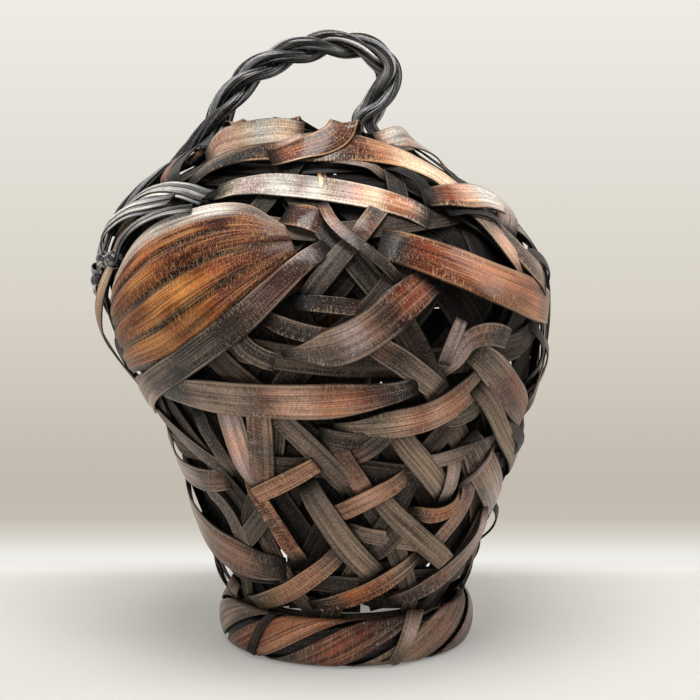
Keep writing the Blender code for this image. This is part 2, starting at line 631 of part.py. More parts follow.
# The handle: three plies lie side by side on the left shoulder, twist into a rope over
# the mouth, and lie side by side again down the back
LEFT_ROOT_OUT = PLAIT_OUT + FIT_GAP + HANDLE_PLY_RADIUS
ROOT_OUT = LEFT_ROOT_OUT + LAYER_GAP + STRIP_THICKNESS
PLY_SPACE = HANDLE_PLY_RADIUS + HALF_SHARE * FIT_GAP
FOOT_OUT = ROOT_OUT + HANDLE_FOOT_LIFT_SHARE * HANDLE_PLY_RADIUS
left_foot = place(*HANDLE_FEET_SHARES[0], FOOT_OUT)
right_foot = place(*HANDLE_FEET_SHARES[1], FOOT_OUT)
loop_points = []
for along, up in LOOP_SHARES:
    spot = left_foot + (right_foot - left_foot) * along
    spot[2] += up * HANDLE_RISE
    loop_points.append(spot)
handle_points = [place(*root, LEFT_ROOT_OUT) for root in LEFT_ROOT_SHARES]
handle_points += loop_points
handle_points += [place(*root, ROOT_OUT) for root in RIGHT_ROOT_SHARES]
HANDLE_STEPS = 54

raw = np.array([follow(handle_points, k / 400) for k in range(401)])
raw_along = np.concatenate([[0.0], np.cumsum(np.linalg.norm(np.diff(raw, axis=0), axis=1))])
even_along = np.linspace(0.0, raw_along[-1], HANDLE_STEPS + 1)
centre_line = np.array([np.interp(even_along, raw_along, raw[:, axis]) for axis in range(3)]).T


def foot_share(number):
    """Share of the handle's length at one of its hand-placed points."""
    return raw_along[round(400 * number / (len(handle_points) - 1))] / raw_along[-1]


headings = np.gradient(centre_line, axis=0)
headings /= np.linalg.norm(headings, axis=1)[:, None]


def carried_frames(first_normal):
    """Carry a normal along the centre line without letting it spin."""
    frames = []
    normal = first_normal
    for heading in headings:
        normal = normal - heading * (normal @ heading)
        normal /= np.linalg.norm(normal)
        frames.append((normal, np.cross(heading, normal)))
    return frames


start_normal = sheet_axes(*LEFT_ROOT_SHARES[0], LEFT_ROOT_OUT)[2]
end_normal = sheet_axes(*RIGHT_ROOT_SHARES[-1], ROOT_OUT)[2]
frames = carried_frames(start_normal)
last_normal, last_side = frames[-1]
lag = math.atan2(end_normal @ last_side, end_normal @ last_normal)
TOTAL_SPIN = FULL_TURN * ROPE_TURNS + lag
LEFT_ROOT_END_SHARE = foot_share(len(LEFT_ROOT_SHARES))
RIGHT_ROOT_START_SHARE = foot_share(len(LEFT_ROOT_SHARES) + len(LOOP_SHARES) - 1)
BLEND_SHARE = 0.08
STEADY_SPIN_SHARE = 0.75


def rope_state(share):
    """How far the plies lie flat, and how far the rope has turned."""
    flat = 1 - ease((share - LEFT_ROOT_END_SHARE + BLEND_SHARE) / BLEND_SHARE)
    flat += ease((share - RIGHT_ROOT_START_SHARE) / BLEND_SHARE)
    turned = (share - LEFT_ROOT_END_SHARE) / (RIGHT_ROOT_START_SHARE - LEFT_ROOT_END_SHARE)
    turned = min(1.0, max(0.0, turned))
    return flat, TOTAL_SPIN * ((1 - STEADY_SPIN_SHARE) * ease(turned) + STEADY_SPIN_SHARE * turned)


def ply_offset(ply, flat, loosen):
    """Place of a ply in the section: three corners of a triangle that opens into a row."""
    spread = PLY_SPACE * loosen
    sideways = (ply - 1) * spread * (1 + flat + 1.25 * flat * (1 - flat))
    outward = spread * (1 - flat) * (2 / math.sqrt(3) if ply == 1 else -1 / math.sqrt(3))
    return sideways, outward


for ply in range(PLY_COUNT):
    curve = bpy.data.curves.new(f"handle_ply_{ply + 1}", "CURVE")
    curve.dimensions = "3D"
    curve.bevel_depth = HANDLE_PLY_RADIUS
    curve.bevel_resolution = 1
    curve.use_fill_caps = True
    line = curve.splines.new("POLY")
    line.points.add(HANDLE_STEPS)
    for step in range(HANDLE_STEPS + 1):
        flat, spin = rope_state(step / HANDLE_STEPS)
        sideways, outward = ply_offset(ply, flat, PLY_LOOSE_SHARE)
        normal, side = frames[step]
        turned_side = math.cos(spin) * side - math.sin(spin) * normal
        turned_normal = math.cos(spin) * normal + math.sin(spin) * side
        spot = centre_line[step] + turned_side * sideways + turned_normal * outward
        line.points[step].co = (*spot, 1.0)
    add_object(f"handle_ply_{ply + 1}", curve, "black")


# The water tube: a length of culm with a floor and one joint ring, turned about its own axis
TUBE_X = BODY_RADIUS * TUBE_PLACE_SHARES[0]
TUBE_Y = BODY_RADIUS * TUBE_PLACE_SHARES[1]
TUBE_BOTTOM = FLOOR_HEIGHT + PLAIT_SWING + STRIP_THICKNESS + FIT_GAP
TUBE_HEIGHT = RIM_HEIGHT * TUBE_HEIGHT_SHARE
TUBE_TOP = TUBE_BOTTOM + TUBE_HEIGHT
TUBE_JOINT = TUBE_BOTTOM + TUBE_HEIGHT * TUBE_JOINT_HEIGHT_SHARE
TUBE_BULGE = TUBE_WALL * TUBE_JOINT_SHARE
TUBE_EDGE = TUBE_WALL * TUBE_EDGE_SHARE
tube_profile = [
    (0.0, TUBE_BOTTOM), (TUBE_RADIUS - TUBE_EDGE, TUBE_BOTTOM), (TUBE_RADIUS, TUBE_BOTTOM + TUBE_EDGE),
    (TUBE_RADIUS, TUBE_JOINT - TUBE_WALL), (TUBE_RADIUS + TUBE_BULGE, TUBE_JOINT),
    (TUBE_RADIUS, TUBE_JOINT + TUBE_WALL), (TUBE_RADIUS, TUBE_TOP - TUBE_EDGE),
    (TUBE_RADIUS - TUBE_EDGE, TUBE_TOP), (TUBE_RADIUS - TUBE_WALL, TUBE_TOP),
    (TUBE_RADIUS - TUBE_WALL, TUBE_BOTTOM + TUBE_WALL * TUBE_FLOOR_SHARE),
    (0.0, TUBE_BOTTOM + TUBE_WALL * TUBE_FLOOR_SHARE),
]
tube_mesh = bpy.data.meshes.new("water_tube")
tube_edge = bmesh.new()
corners = [tube_edge.verts.new((radius, 0.0, height)) for radius, height in tube_profile]
for lower, upper in zip(corners, corners[1:]):
    tube_edge.edges.new((lower, upper))
tube_edge.to_mesh(tube_mesh)
tube_edge.free()
water_tube = add_object("water_tube", tube_mesh, "green")
water_tube.location = (TUBE_X, TUBE_Y, 0.0)
turned = water_tube.modifiers.new("turned", "SCREW")
turned.axis = "Z"
turned.steps = 32
turned.render_steps = 32
turned.use_merge_vertices = True
turned.merge_threshold = WELD
turned.use_normal_calculate = True
turned.use_smooth_shade = True

# Shade the strips smooth, so that their bends don't show facets
for made in basket_set.objects:
    if made.type == "MESH":
        for face in made.data.polygons:
            face.use_smooth = True
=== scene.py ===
# %% [markdown]
# # A rough-plaited bamboo flower basket
# The basket is a wall of split bamboo strips, thrown over and under each other and lacquered.
# The CAD frame already holds the main strips as plain solids. Here each one gets its real
# section, grain and polish, and the smaller strips between them are added.

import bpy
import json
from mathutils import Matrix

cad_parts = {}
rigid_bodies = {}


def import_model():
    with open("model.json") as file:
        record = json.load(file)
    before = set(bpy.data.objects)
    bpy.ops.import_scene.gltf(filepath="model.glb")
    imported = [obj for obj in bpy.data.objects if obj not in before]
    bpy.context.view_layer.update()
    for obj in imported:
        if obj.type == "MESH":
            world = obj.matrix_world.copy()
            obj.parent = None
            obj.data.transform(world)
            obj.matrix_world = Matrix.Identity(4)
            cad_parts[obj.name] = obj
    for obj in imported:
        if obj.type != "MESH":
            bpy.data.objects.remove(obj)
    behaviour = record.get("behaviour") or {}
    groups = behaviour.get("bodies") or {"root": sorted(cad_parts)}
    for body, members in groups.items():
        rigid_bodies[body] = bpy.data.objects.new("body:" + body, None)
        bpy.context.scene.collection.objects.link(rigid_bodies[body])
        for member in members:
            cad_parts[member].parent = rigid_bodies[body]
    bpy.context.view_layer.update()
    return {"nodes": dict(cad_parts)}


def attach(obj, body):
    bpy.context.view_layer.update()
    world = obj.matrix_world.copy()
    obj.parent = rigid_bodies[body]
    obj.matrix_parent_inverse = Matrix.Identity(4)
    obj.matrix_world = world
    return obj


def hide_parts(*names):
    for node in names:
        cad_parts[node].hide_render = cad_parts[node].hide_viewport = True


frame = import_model()

import json
import math

import bmesh
import bpy
import numpy as np
from mathutils import Vector

print("nodes in the frame:", len(frame["nodes"]))

# %% [markdown]
# ## The camera
# The photograph looks slightly down on the basket from about 1.4 metres. A long lens
# keeps the sides nearly parallel. The camera comes first, because strips are placed by the
# pixels in which they show.

# %% Camera
CAMERA_SPOT = np.array([0.014, -1.350, 0.395])
CAMERA_AIM = np.array([0.014, 0.0, 0.167])
FRAME_PIXELS = 700
LENS_PIXELS = 2398
SENSOR_MM = 36

view_line = CAMERA_AIM - CAMERA_SPOT
view_line /= np.linalg.norm(view_line)
view_right = np.cross(view_line, (0.0, 0.0, 1.0))
view_right /= np.linalg.norm(view_right)
view_up = np.cross(view_right, view_line)


def new_object(name, data):
    """An object of the scene that holds the data."""
    made = bpy.data.objects.new(name, data)
    bpy.context.scene.collection.objects.link(made)
    return made


camera = new_object("camera", bpy.data.cameras.new("camera"))
camera.location = CAMERA_SPOT
camera.rotation_euler = Vector(view_line).to_track_quat("-Z", "Y").to_euler()
camera.data.sensor_width = SENSOR_MM
camera.data.lens = SENSOR_MM * LENS_PIXELS / FRAME_PIXELS
bpy.context.scene.camera = camera
print("lens:", round(camera.data.lens, 1), "mm")


def in_pixels(spots):
    """Where points of the model show in the photograph's frame."""
    away = np.asarray(spots) - CAMERA_SPOT
    depth = away @ view_line
    across = FRAME_PIXELS / 2 + LENS_PIXELS * (away @ view_right) / depth
    down = FRAME_PIXELS / 2 - LENS_PIXELS * (away @ view_up) / depth
    return np.stack([across, down], axis=-1)


# %% [markdown]
# ## The wall as a surface
# Every strip bends over one smooth body. A place on it is a turn (0 at the front, 0.25 at the
# right), a rise (share of the wall's length from foot to mouth) and an offset along the
# outward normal. The foot sits to the right of the shoulder, so the axis leans.

# %% The body's surface
BODY_RADIUS = 0.1205
RIM_HEIGHT = 0.291
STRIP = 0.001
LAYER_GAP = 0.0006
PLAIT_SWING = 0.75 * (STRIP + LAYER_GAP)
PLAIT_OUT = 2 * PLAIT_SWING + STRIP
LAYER_STEP = STRIP + LAYER_GAP
FOOT_LEAN_SHARE = 0.098
MOUTH_LEAN_SHARE = -0.050
FINE_STEPS = 400
NUDGE = 0.001
PROFILE_SHARES = np.array([
    (0.444, 0.027), (0.464, 0.069), (0.515, 0.107), (0.569, 0.144), (0.628, 0.213),
    (0.695, 0.296), (0.774, 0.388), (0.866, 0.485), (0.950, 0.577), (1.000, 0.660),
    (1.000, 0.725), (0.933, 0.794), (0.808, 0.856), (0.665, 0.904), (0.540, 0.938),
    (0.439, 0.969), (0.385, 1.000),
])


def ease(value):
    value = np.clip(value, 0.0, 1.0)
    return value * value * (3 - 2 * value)


def follow(points, shares):
    """Smooth values through given points, at shares of their number."""
    points = np.asarray(points, float)
    last = len(points) - 1
    shares = np.atleast_1d(np.asarray(shares, float))
    index = np.clip((np.maximum(shares, 0.0) * last).astype(int), 0, last - 1)
    step = (shares * last - index)[:, None]
    padded = np.vstack([2 * points[0] - points[1], points, 2 * points[-1] - points[-2]])
    p0, p1, p2, p3 = (padded[index + k] for k in range(4))
    first = (p2 - p0) * step
    second = (2 * p0 - 5 * p1 + 4 * p2 - p3) * step ** 2
    third = (3 * p1 - p0 - 3 * p2 + p3) * step ** 3
    return p1 + 0.5 * (first + second + third)


def walked(spots):
    """The distance along a line of points, at each of them."""
    return np.concatenate([[0.0], np.cumsum(np.linalg.norm(np.diff(spots, axis=0), axis=1))])


def unit(vectors):
    return vectors / np.linalg.norm(vectors, axis=-1, keepdims=True)


profile_fine = follow(PROFILE_SHARES * (BODY_RADIUS, RIM_HEIGHT), np.linspace(0, 1, FINE_STEPS + 1))
profile_along = walked(profile_fine)
WALL_LENGTH = profile_along[-1]


def profile(rise):
    """Radius and height at a rise; past its ends the wall goes straight on."""
    along = np.asarray(rise, float) * WALL_LENGTH
    radius = np.interp(along, profile_along, profile_fine[:, 0])
    height = np.interp(along, profile_along, profile_fine[:, 1])
    for past, near, far in ((along - WALL_LENGTH, -1, -2), (-along, 0, 1)):
        run = profile_fine[near] - profile_fine[far]
        run = run / np.linalg.norm(run)
        past = np.maximum(past, 0.0)
        radius = radius + run[0] * past
        height = height + run[1] * past
    return radius, height


def lean(height):
    """How far to the right the basket's axis lies at a height."""
    share = height / RIM_HEIGHT
    foot = FOOT_LEAN_SHARE * (1 - ease((share - 0.378) / 0.326))
    mouth = MOUTH_LEAN_SHARE * ease((share - 0.687) / 0.213)
    return BODY_RADIUS * (foot + mouth)


def wall(turn, rise, out=0.0):
    """Points of the body's surface, moved out along its normal."""
    radius, height = profile(rise)
    r1, h1 = profile(np.asarray(rise) + NUDGE)
    r0, h0 = profile(np.asarray(rise) - NUDGE)
    length = np.hypot(r1 - r0, h1 - h0)
    radius = radius + (h1 - h0) / length * out
    height = height - (r1 - r0) / length * out
    angle = 2 * math.pi * np.asarray(turn)
    return np.stack([lean(height) + radius * np.sin(angle), -radius * np.cos(angle), height], axis=-1)


def wall_normal(turn, rise):
    around = wall(turn + NUDGE, rise) - wall(turn - NUDGE, rise)
    upward = wall(turn, rise + NUDGE) - wall(turn, rise - NUDGE)
    return unit(np.cross(around, upward))


print("length of the wall from foot to mouth:", round(WALL_LENGTH * 1000), "mm")

# %% [markdown]
# ## From a pixel to the wall
# The front strips are laid where the photograph shows them. The nearest point of a fine grid
# on the wall gives a start, and a few Newton steps bring it onto the pixel exactly.

# %% Pixels onto the wall
SEEN_TURN = 0.29
PLACE_STEP = 1e-4
NEWTON_STEPS = 6
LONGEST_STEP = 0.02
LONGEST_WAY = 0.04
STEEPEST_VIEW = 2e4
OUT_OF_SIGHT = 1e6
grid_turn, grid_rise = np.meshgrid(np.linspace(-SEEN_TURN, SEEN_TURN, 233), np.linspace(0.0, 1.0, 241))
grid_turn = grid_turn.ravel()
grid_rise = grid_rise.ravel()
grid_spots = wall(grid_turn, grid_rise, PLAIT_OUT)
grid_facing = ((CAMERA_SPOT - grid_spots) * wall_normal(grid_turn, grid_rise)).sum(axis=1) > 0
grid_pixels = np.where(grid_facing[:, None], in_pixels(grid_spots), OUT_OF_SIGHT)


def from_pixel(across, down):
    """(turn, rise) of the wall's place that shows in a pixel."""
    target = np.array([across, down], float)
    nearest = np.argmin(((grid_pixels - target) ** 2).sum(axis=1))
    start = np.array([grid_turn[nearest], grid_rise[nearest]])
    place = start.copy()
    for _ in range(NEWTON_STEPS):
        here = in_pixels(wall(place[0], place[1], PLAIT_OUT))
        jacobian = np.stack([
            (in_pixels(wall(place[0] + PLACE_STEP, place[1], PLAIT_OUT)) - here) / PLACE_STEP,
            (in_pixels(wall(place[0], place[1] + PLACE_STEP, PLAIT_OUT)) - here) / PLACE_STEP,
        ], axis=1)
        if abs(np.linalg.det(jacobian)) < STEEPEST_VIEW:
            return tuple(start)
        step = np.linalg.solve(jacobian, target - here)
        place = place + np.clip(step, -LONGEST_STEP, LONGEST_STEP)
    if np.abs(place - start).max() > LONGEST_WAY:
        return tuple(start)
    return tuple(place)


print("the centre of the picture is at", np.round(from_pixel(350, 350), 3))

# %% [markdown]
# ## Tones
# Old lacquered bamboo runs from black over red-brown to worn gold and cream where hands rub it,
# and the fine splints of the handle to a neutral grey. The tones also hold painted light: black
# and soot for shade in folds and under other strips, and cream, peach, lilac, silver and pewter
# for highlights. Each strip names a few tones along its length, and the colours between them
# blend. The names are read as colours on the screen.

# %% Tones
TONES = {
    "black": (12, 11, 11), "soot": (31, 26, 24), "umber": (52, 35, 28), "chestnut": (84, 38, 22),
    "russet": (116, 54, 29), "amber": (150, 82, 36), "gold": (186, 122, 64), "cream": (220, 188, 150),
    "lilac": (162, 140, 136), "rose": (124, 84, 66), "ash": (110, 92, 79), "olive": (92, 80, 58),
    "slate": (58, 50, 46), "wine": (62, 25, 19), "peach": (224, 192, 160), "blush": (206, 158, 134),
    "copper": (166, 104, 70), "silver": (204, 199, 192), "taupe": (140, 118, 98),
    "iron": (50, 50, 52), "pewter": (138, 138, 140),
}


def from_screen(colour):
    """A screen colour of 0 to 255 as the linear values that a shader wants."""
    share = np.asarray(colour, float) / 255
    return np.where(share <= 0.04045, share / 12.92, ((share + 0.055) / 1.055) ** 2.4)


def tones_along(names, shares):
    """Blend a strip's named tones over its length."""
    colours = np.array([from_screen(TONES[name]) for name in names.split()])
    if len(colours) == 1:
        return np.repeat(colours, len(shares), axis=0)
    places = np.linspace(0, 1, len(colours))
    return np.stack([np.interp(shares, places, colours[:, k]) for k in range(3)], axis=1)


print("tones:", ", ".join(TONES))

# %% [markdown]
# ## A strip with Geometry Nodes
# A split of bamboo has a crowned outer skin, a flat inner face and softened edges. One node
# tree sweeps that section along any number of paths. A path is a chain of edges whose points
# carry what the sweep needs: the sideways and outward directions, half the width, the
# distance along, the tone and a number that tells the strips apart. A plain curve sweep
# would let the section spin, so the tree moves each point of the sweep into place itself.


# %% Node helpers
def add_node(tree, kind, values=None, **settings):
    """Add a node, set its settings, and fill or link its inputs."""
    node = tree.nodes.new(kind)
    for key, value in settings.items():
        setattr(node, key, value)
    for key, value in (values or {}).items():
        if isinstance(value, bpy.types.NodeSocket):
            tree.links.new(value, node.inputs[key])
        else:
            node.inputs[key].default_value = value
    return node


def compute(tree, operation, *values):
    """One step of arithmetic; each value is a number or a socket."""
    node = add_node(tree, "ShaderNodeMath", dict(enumerate(values)), operation=operation)
    return node.outputs[0]


def compute_vector(tree, operation, *values, scale=None):
    inputs = dict(enumerate(values))
    node = add_node(tree, "ShaderNodeVectorMath", inputs, operation=operation)
    if scale is not None:
        tree.links.new(scale, node.inputs["Scale"])
    return node.outputs[0]


def named(tree, name, kind):
    """A value that every point of a path carries."""
    node = add_node(tree, "GeometryNodeInputNamedAttribute", {"Name": name}, data_type=kind)
    return node.outputs[0]


# %% The strip tree
def build_strip_tree():
    tree = bpy.data.node_groups.new("bamboo strip", "GeometryNodeTree")
    sockets = tree.interface
    sockets.new_socket("Geometry", in_out="INPUT", socket_type="NodeSocketGeometry")
    for label, kind, value in (
        ("Thickness", "NodeSocketFloat", STRIP), ("Crown", "NodeSocketFloat", 0.04),
        ("Edge Roundness", "NodeSocketFloat", 0.3), ("Section Points", "NodeSocketInt", 16),
        ("Unevenness", "NodeSocketFloat", 0.0003), ("Seed", "NodeSocketFloat", 3.0),
    ):
        made = sockets.new_socket(label, in_out="INPUT", socket_type=kind)
        made.default_value = value
    sockets.new_socket("Material", in_out="INPUT", socket_type="NodeSocketMaterial")
    sockets.new_socket("Geometry", in_out="OUTPUT", socket_type="NodeSocketGeometry")
    inputs = add_node(tree, "NodeGroupInput")

    path = add_node(tree, "GeometryNodeMeshToCurve", {"Mesh": inputs.outputs["Geometry"]})
    spot = add_node(tree, "GeometryNodeCaptureAttribute")
    spot.capture_items.new("VECTOR", "Spot")
    tree.links.new(path.outputs["Curve"], spot.inputs["Geometry"])
    tree.links.new(add_node(tree, "GeometryNodeInputPosition").outputs[0], spot.inputs["Spot"])

    ring = add_node(tree, "GeometryNodeCurvePrimitiveCircle", {
        "Resolution": inputs.outputs["Section Points"], "Radius": 1.0})
    section = add_node(tree, "GeometryNodeCaptureAttribute")
    section.capture_items.new("VECTOR", "Section")
    tree.links.new(ring.outputs["Curve"], section.inputs["Geometry"])
    tree.links.new(add_node(tree, "GeometryNodeInputPosition").outputs[0], section.inputs["Section"])

    sweep = add_node(tree, "GeometryNodeCurveToMesh", {
        "Curve": spot.outputs["Geometry"], "Profile Curve": section.outputs["Geometry"],
        "Fill Caps": True})
    parts = add_node(tree, "ShaderNodeSeparateXYZ", {0: section.outputs["Section"]})

    def squared(value):
        size = compute(tree, "POWER", compute(tree, "ABSOLUTE", value), inputs.outputs["Edge Roundness"])
        return compute(tree, "MULTIPLY", size, compute(tree, "SIGN", value))

    lane = squared(parts.outputs["X"])
    face = squared(parts.outputs["Y"])
    half_width = named(tree, "half_width", "FLOAT")
    wobble = add_node(tree, "ShaderNodeTexNoise", {
        "Vector": spot.outputs["Spot"], "W": inputs.outputs["Seed"], "Scale": 90.0, "Detail": 1.0},
        noise_dimensions="4D").outputs["Fac"]
    wobble = compute(tree, "SUBTRACT", wobble, 0.5)
    wobble = compute(tree, "MULTIPLY", wobble, inputs.outputs["Unevenness"])
    aside = compute(tree, "MULTIPLY", lane, compute(tree, "ADD", half_width, wobble))
    bulge = compute(tree, "MULTIPLY", inputs.outputs["Crown"], half_width)
    rounded = compute(tree, "SUBTRACT", 1.0, compute(tree, "MULTIPLY", lane, lane))
    bulge = compute(tree, "MULTIPLY", bulge, rounded)
    level = compute(tree, "MULTIPLY", compute(tree, "ADD", face, 1.0), compute(
        tree, "MULTIPLY", inputs.outputs["Thickness"], 0.5))
    outward = compute(tree, "ADD", level, bulge)
    moved = compute_vector(tree, "ADD", spot.outputs["Spot"], compute_vector(
        tree, "SCALE", named(tree, "side", "FLOAT_VECTOR"), scale=aside))
    moved = compute_vector(tree, "ADD", moved, compute_vector(
        tree, "SCALE", named(tree, "outward", "FLOAT_VECTOR"), scale=outward))
    placed = add_node(tree, "GeometryNodeSetPosition", {
        "Geometry": sweep.outputs["Mesh"], "Position": moved})

    strip_note = add_node(tree, "ShaderNodeCombineXYZ", {
        "X": lane, "Y": face, "Z": named(tree, "kind", "FLOAT")})
    noted = add_node(tree, "GeometryNodeStoreNamedAttribute", {
        "Geometry": placed.outputs[0], "Name": "strip", "Value": strip_note.outputs[0]},
        data_type="FLOAT_VECTOR", domain="POINT")
    grain = add_node(tree, "ShaderNodeCombineXYZ", {"X": named(tree, "along", "FLOAT"), "Y": aside})
    unwrapped = add_node(tree, "GeometryNodeStoreNamedAttribute", {
        "Geometry": noted.outputs[0], "Name": "UVMap", "Value": grain.outputs[0]},
        data_type="FLOAT2", domain="CORNER")
    smooth = add_node(tree, "GeometryNodeSetShadeSmooth", {
        "Geometry": unwrapped.outputs[0], "Shade Smooth": True})
    real = add_node(tree, "GeometryNodeRealizeInstances", {"Geometry": smooth.outputs[0]})
    coated = add_node(tree, "GeometryNodeSetMaterial", {
        "Geometry": real.outputs[0], "Material": inputs.outputs["Material"]})
    output = add_node(tree, "NodeGroupOutput")
    tree.links.new(coated.outputs[0], output.inputs[0])
    return tree


strip_tree = build_strip_tree()
strip_inputs = {item.name: item.identifier for item in strip_tree.interface.items_tree
                if item.in_out == "INPUT"}
print("nodes in the strip tree:", len(strip_tree.nodes))

# %% [markdown]
# ## The grain of the bamboo
# Two things make a split of bamboo recognisable: fine fibres along it, and short pale scuffs
# across it where the lacquer is worn, densest along the edges, where they are partly a painted
# reflection. Both are stretched noise on the strip's own coordinates, so the grain follows every
# bend. One shader group gives colour, roughness, height and the share of clear lacquer, and each
# finish sets its own amounts. It also paints light: darker edges and a dark edge line for shade,
# and a pale line beside each edge that is partly wear and partly a painted highlight.

# %% Grain group
def build_grain_group():
    group = bpy.data.node_groups.new("bamboo grain", "ShaderNodeTree")
    sockets = group.interface
    for label, kind, value in (
        ("Coordinates", "NodeSocketVector", None), ("Strip", "NodeSocketVector", None),
        ("Tone", "NodeSocketColor", (0.2, 0.1, 0.05, 1)),
        ("Inner Face", "NodeSocketColor", (0.06, 0.05, 0.04, 1)),
        ("Scuff Colour", "NodeSocketColor", (0.60, 0.42, 0.26, 1)),
        ("Fibre", "NodeSocketFloat", 0.5), ("Scuffs", "NodeSocketFloat", 0.5),
        ("Edge Wear And Sheen", "NodeSocketFloat", 0.5), ("Polish", "NodeSocketFloat", 0.3),
        ("Bloom", "NodeSocketFloat", 0.0), ("Light", "NodeSocketFloat", 1.0),
        ("Gloss", "NodeSocketFloat", 0.2),
    ):
        made = sockets.new_socket(label, in_out="INPUT", socket_type=kind)
        if value is not None:
            made.default_value = value
    sockets.new_socket("Colour", in_out="OUTPUT", socket_type="NodeSocketColor")
    for label in ("Roughness", "Height", "Lacquer"):
        sockets.new_socket(label, in_out="OUTPUT", socket_type="NodeSocketFloat")
    inputs = add_node(group, "NodeGroupInput").outputs
    strip = add_node(group, "ShaderNodeSeparateXYZ", {0: inputs["Strip"]}).outputs
    shift = compute(group, "MULTIPLY", strip["Z"], 7.31)
    apart = add_node(group, "ShaderNodeCombineXYZ", {"X": shift, "Y": shift, "Z": shift}).outputs[0]
    spot = compute_vector(group, "ADD", inputs["Coordinates"], apart)

    def noise(stretch, detail=2.0, roughness=0.5):
        """Noise on the strip's own coordinates, with so many waves to the metre each way."""
        place = compute_vector(group, "MULTIPLY", spot, stretch)
        return add_node(group, "ShaderNodeTexNoise", {
            "Vector": place, "Scale": 1.0, "Detail": detail, "Roughness": roughness}).outputs["Fac"]

    def step(value, low, high):
        ends = {"Value": value, "From Min": low, "From Max": high}
        return add_node(group, "ShaderNodeMapRange", ends, interpolation_type="SMOOTHSTEP").outputs[0]

    def blend(share, first, second, mode="MIX"):
        node = add_node(group, "ShaderNodeMix", data_type="RGBA", blend_type=mode)
        for index, value in ((0, share), (6, first), (7, second)):
            if isinstance(value, bpy.types.NodeSocket):
                group.links.new(value, node.inputs[index])
            else:
                node.inputs[index].default_value = value
        return node.outputs[2]

    def times(first, second):
        return compute(group, "MULTIPLY", first, second)

    def less(first, second):
        return compute(group, "SUBTRACT", first, second)

    def times_plus(value, factor, added):
        return compute(group, "MULTIPLY_ADD", value, factor, added)

    def held(value, low, high):
        return compute(group, "MINIMUM", compute(group, "MAXIMUM", value, low), high)

    def swing(value, amount, high):
        """Noise about 0.5 as a factor about 1."""
        return held(times_plus(less(value, 0.5), amount, 1.0), 0.08, high)

    def grey_of(value):
        return add_node(group, "ShaderNodeCombineColor", dict.fromkeys(range(3), value)).outputs[0]

    fibre = noise((14.0, 1450.0, 1.0), roughness=0.6)
    streak = noise((9.0, 520.0, 1.0), roughness=0.6)
    blotch = noise((26.0, 80.0, 1.0))
    cross = noise((1400.0, 230.0, 1.0), roughness=0.7)
    fleck = noise((1500.0, 520.0, 1.0), roughness=0.65)
    patch = noise((45.0, 120.0, 1.0))
    edge = compute(group, "ABSOLUTE", strip["X"])

    # The skin: the strip's tone, lighter and darker by fibre, streak, blotch and fleck, and darker towards the
    # edges.
    shade = times(swing(streak, 3.6, 1.5), swing(fibre, 3.6, 1.8))
    shade = times_plus(less(shade, 1.0), inputs["Fibre"], 1.0)
    shade = times(shade, swing(blotch, 2.4, 1.5))
    # Darker towards both edges: painted shade on the strip's rounded sides.
    shade = times(shade, times_plus(step(edge, 0.45, 1.0), -0.35, 1.08))
    shade = times(shade, swing(fleck, 2.2, 1.5))
    grey = grey_of(held(shade, 0.22, 2.2))
    skin = blend(1.0, inputs["Tone"], grey, "MULTIPLY")

    # Wear: scuffs across the strip and rubbed fibres along it, fainter on dark tones. The scuffs are densest along
    # the edges, most along one of them, and there they are partly a painted reflection.
    lower = times_plus(step(strip["X"], -0.2, 0.8), 0.7, 0.3)
    edge_scuff_and_sheen = times(times(step(edge, 0.30, 1.0), lower), inputs["Edge Wear And Sheen"])
    scuff = times(step(cross, 0.53, 0.60), step(patch, 0.38, 0.54))
    scuff = times(times(scuff, compute(group, "ADD", inputs["Scuffs"], edge_scuff_and_sheen)), 0.90)
    glow = times(step(fibre, 0.53, 0.61), step(blotch, 0.42, 0.56))
    glow = times(glow, times(inputs["Scuffs"], 1.4))
    worn = compute(group, "MINIMUM", compute(group, "ADD", scuff, glow), 0.9)
    bright = add_node(group, "ShaderNodeRGBToBW", {0: inputs["Tone"]}).outputs[0]
    worn = times(worn, times_plus(step(bright, 0.0, 0.10), 0.40, 0.60))
    skin = blend(worn, skin, inputs["Scuff Colour"])

    # A pale line beside each edge, partly rubbed wear and partly a painted highlight; specks of dust; a dull
    # bloom; and a dark line on the edge itself, which is painted shade.
    line = times(step(edge, 0.78, 0.86), less(1.0, step(edge, 0.90, 0.96)))
    line = times(line, step(blotch, 0.34, 0.54))
    skin = blend(times(line, times(inputs["Edge Wear And Sheen"], 0.65)), skin, inputs["Scuff Colour"])
    speck = step(noise((1500.0, 1500.0, 1.0), 0.0), 0.70, 0.77)
    skin = blend(times(speck, inputs["Scuffs"]), skin, (0.62, 0.56, 0.50, 1))
    bloom = blend(1.0, (0.16, 0.122, 0.095, 1), grey, "MULTIPLY")
    skin = blend(times(swing(blotch, 3.0, 1.6), inputs["Bloom"]), skin, bloom)
    # Painted shade: a near-black line along each edge.
    skin = blend(times(step(edge, 0.92, 0.985), 0.90), skin, (0.008, 0.007, 0.006, 1))

    # The inner face has its own colour, set near black on the plait as painted shade in its gaps. The Light value
    # darkens the whole colour: painted shade on hidden ends and on the strips of the plait and the close plait.
    inside = step(times(strip["Y"], -1.0), -0.1, 0.3)
    back = blend(1.0, inputs["Inner Face"], grey, "MULTIPLY")
    colour = blend(1.0, blend(inside, skin, back), grey_of(inputs["Light"]), "MULTIPLY")

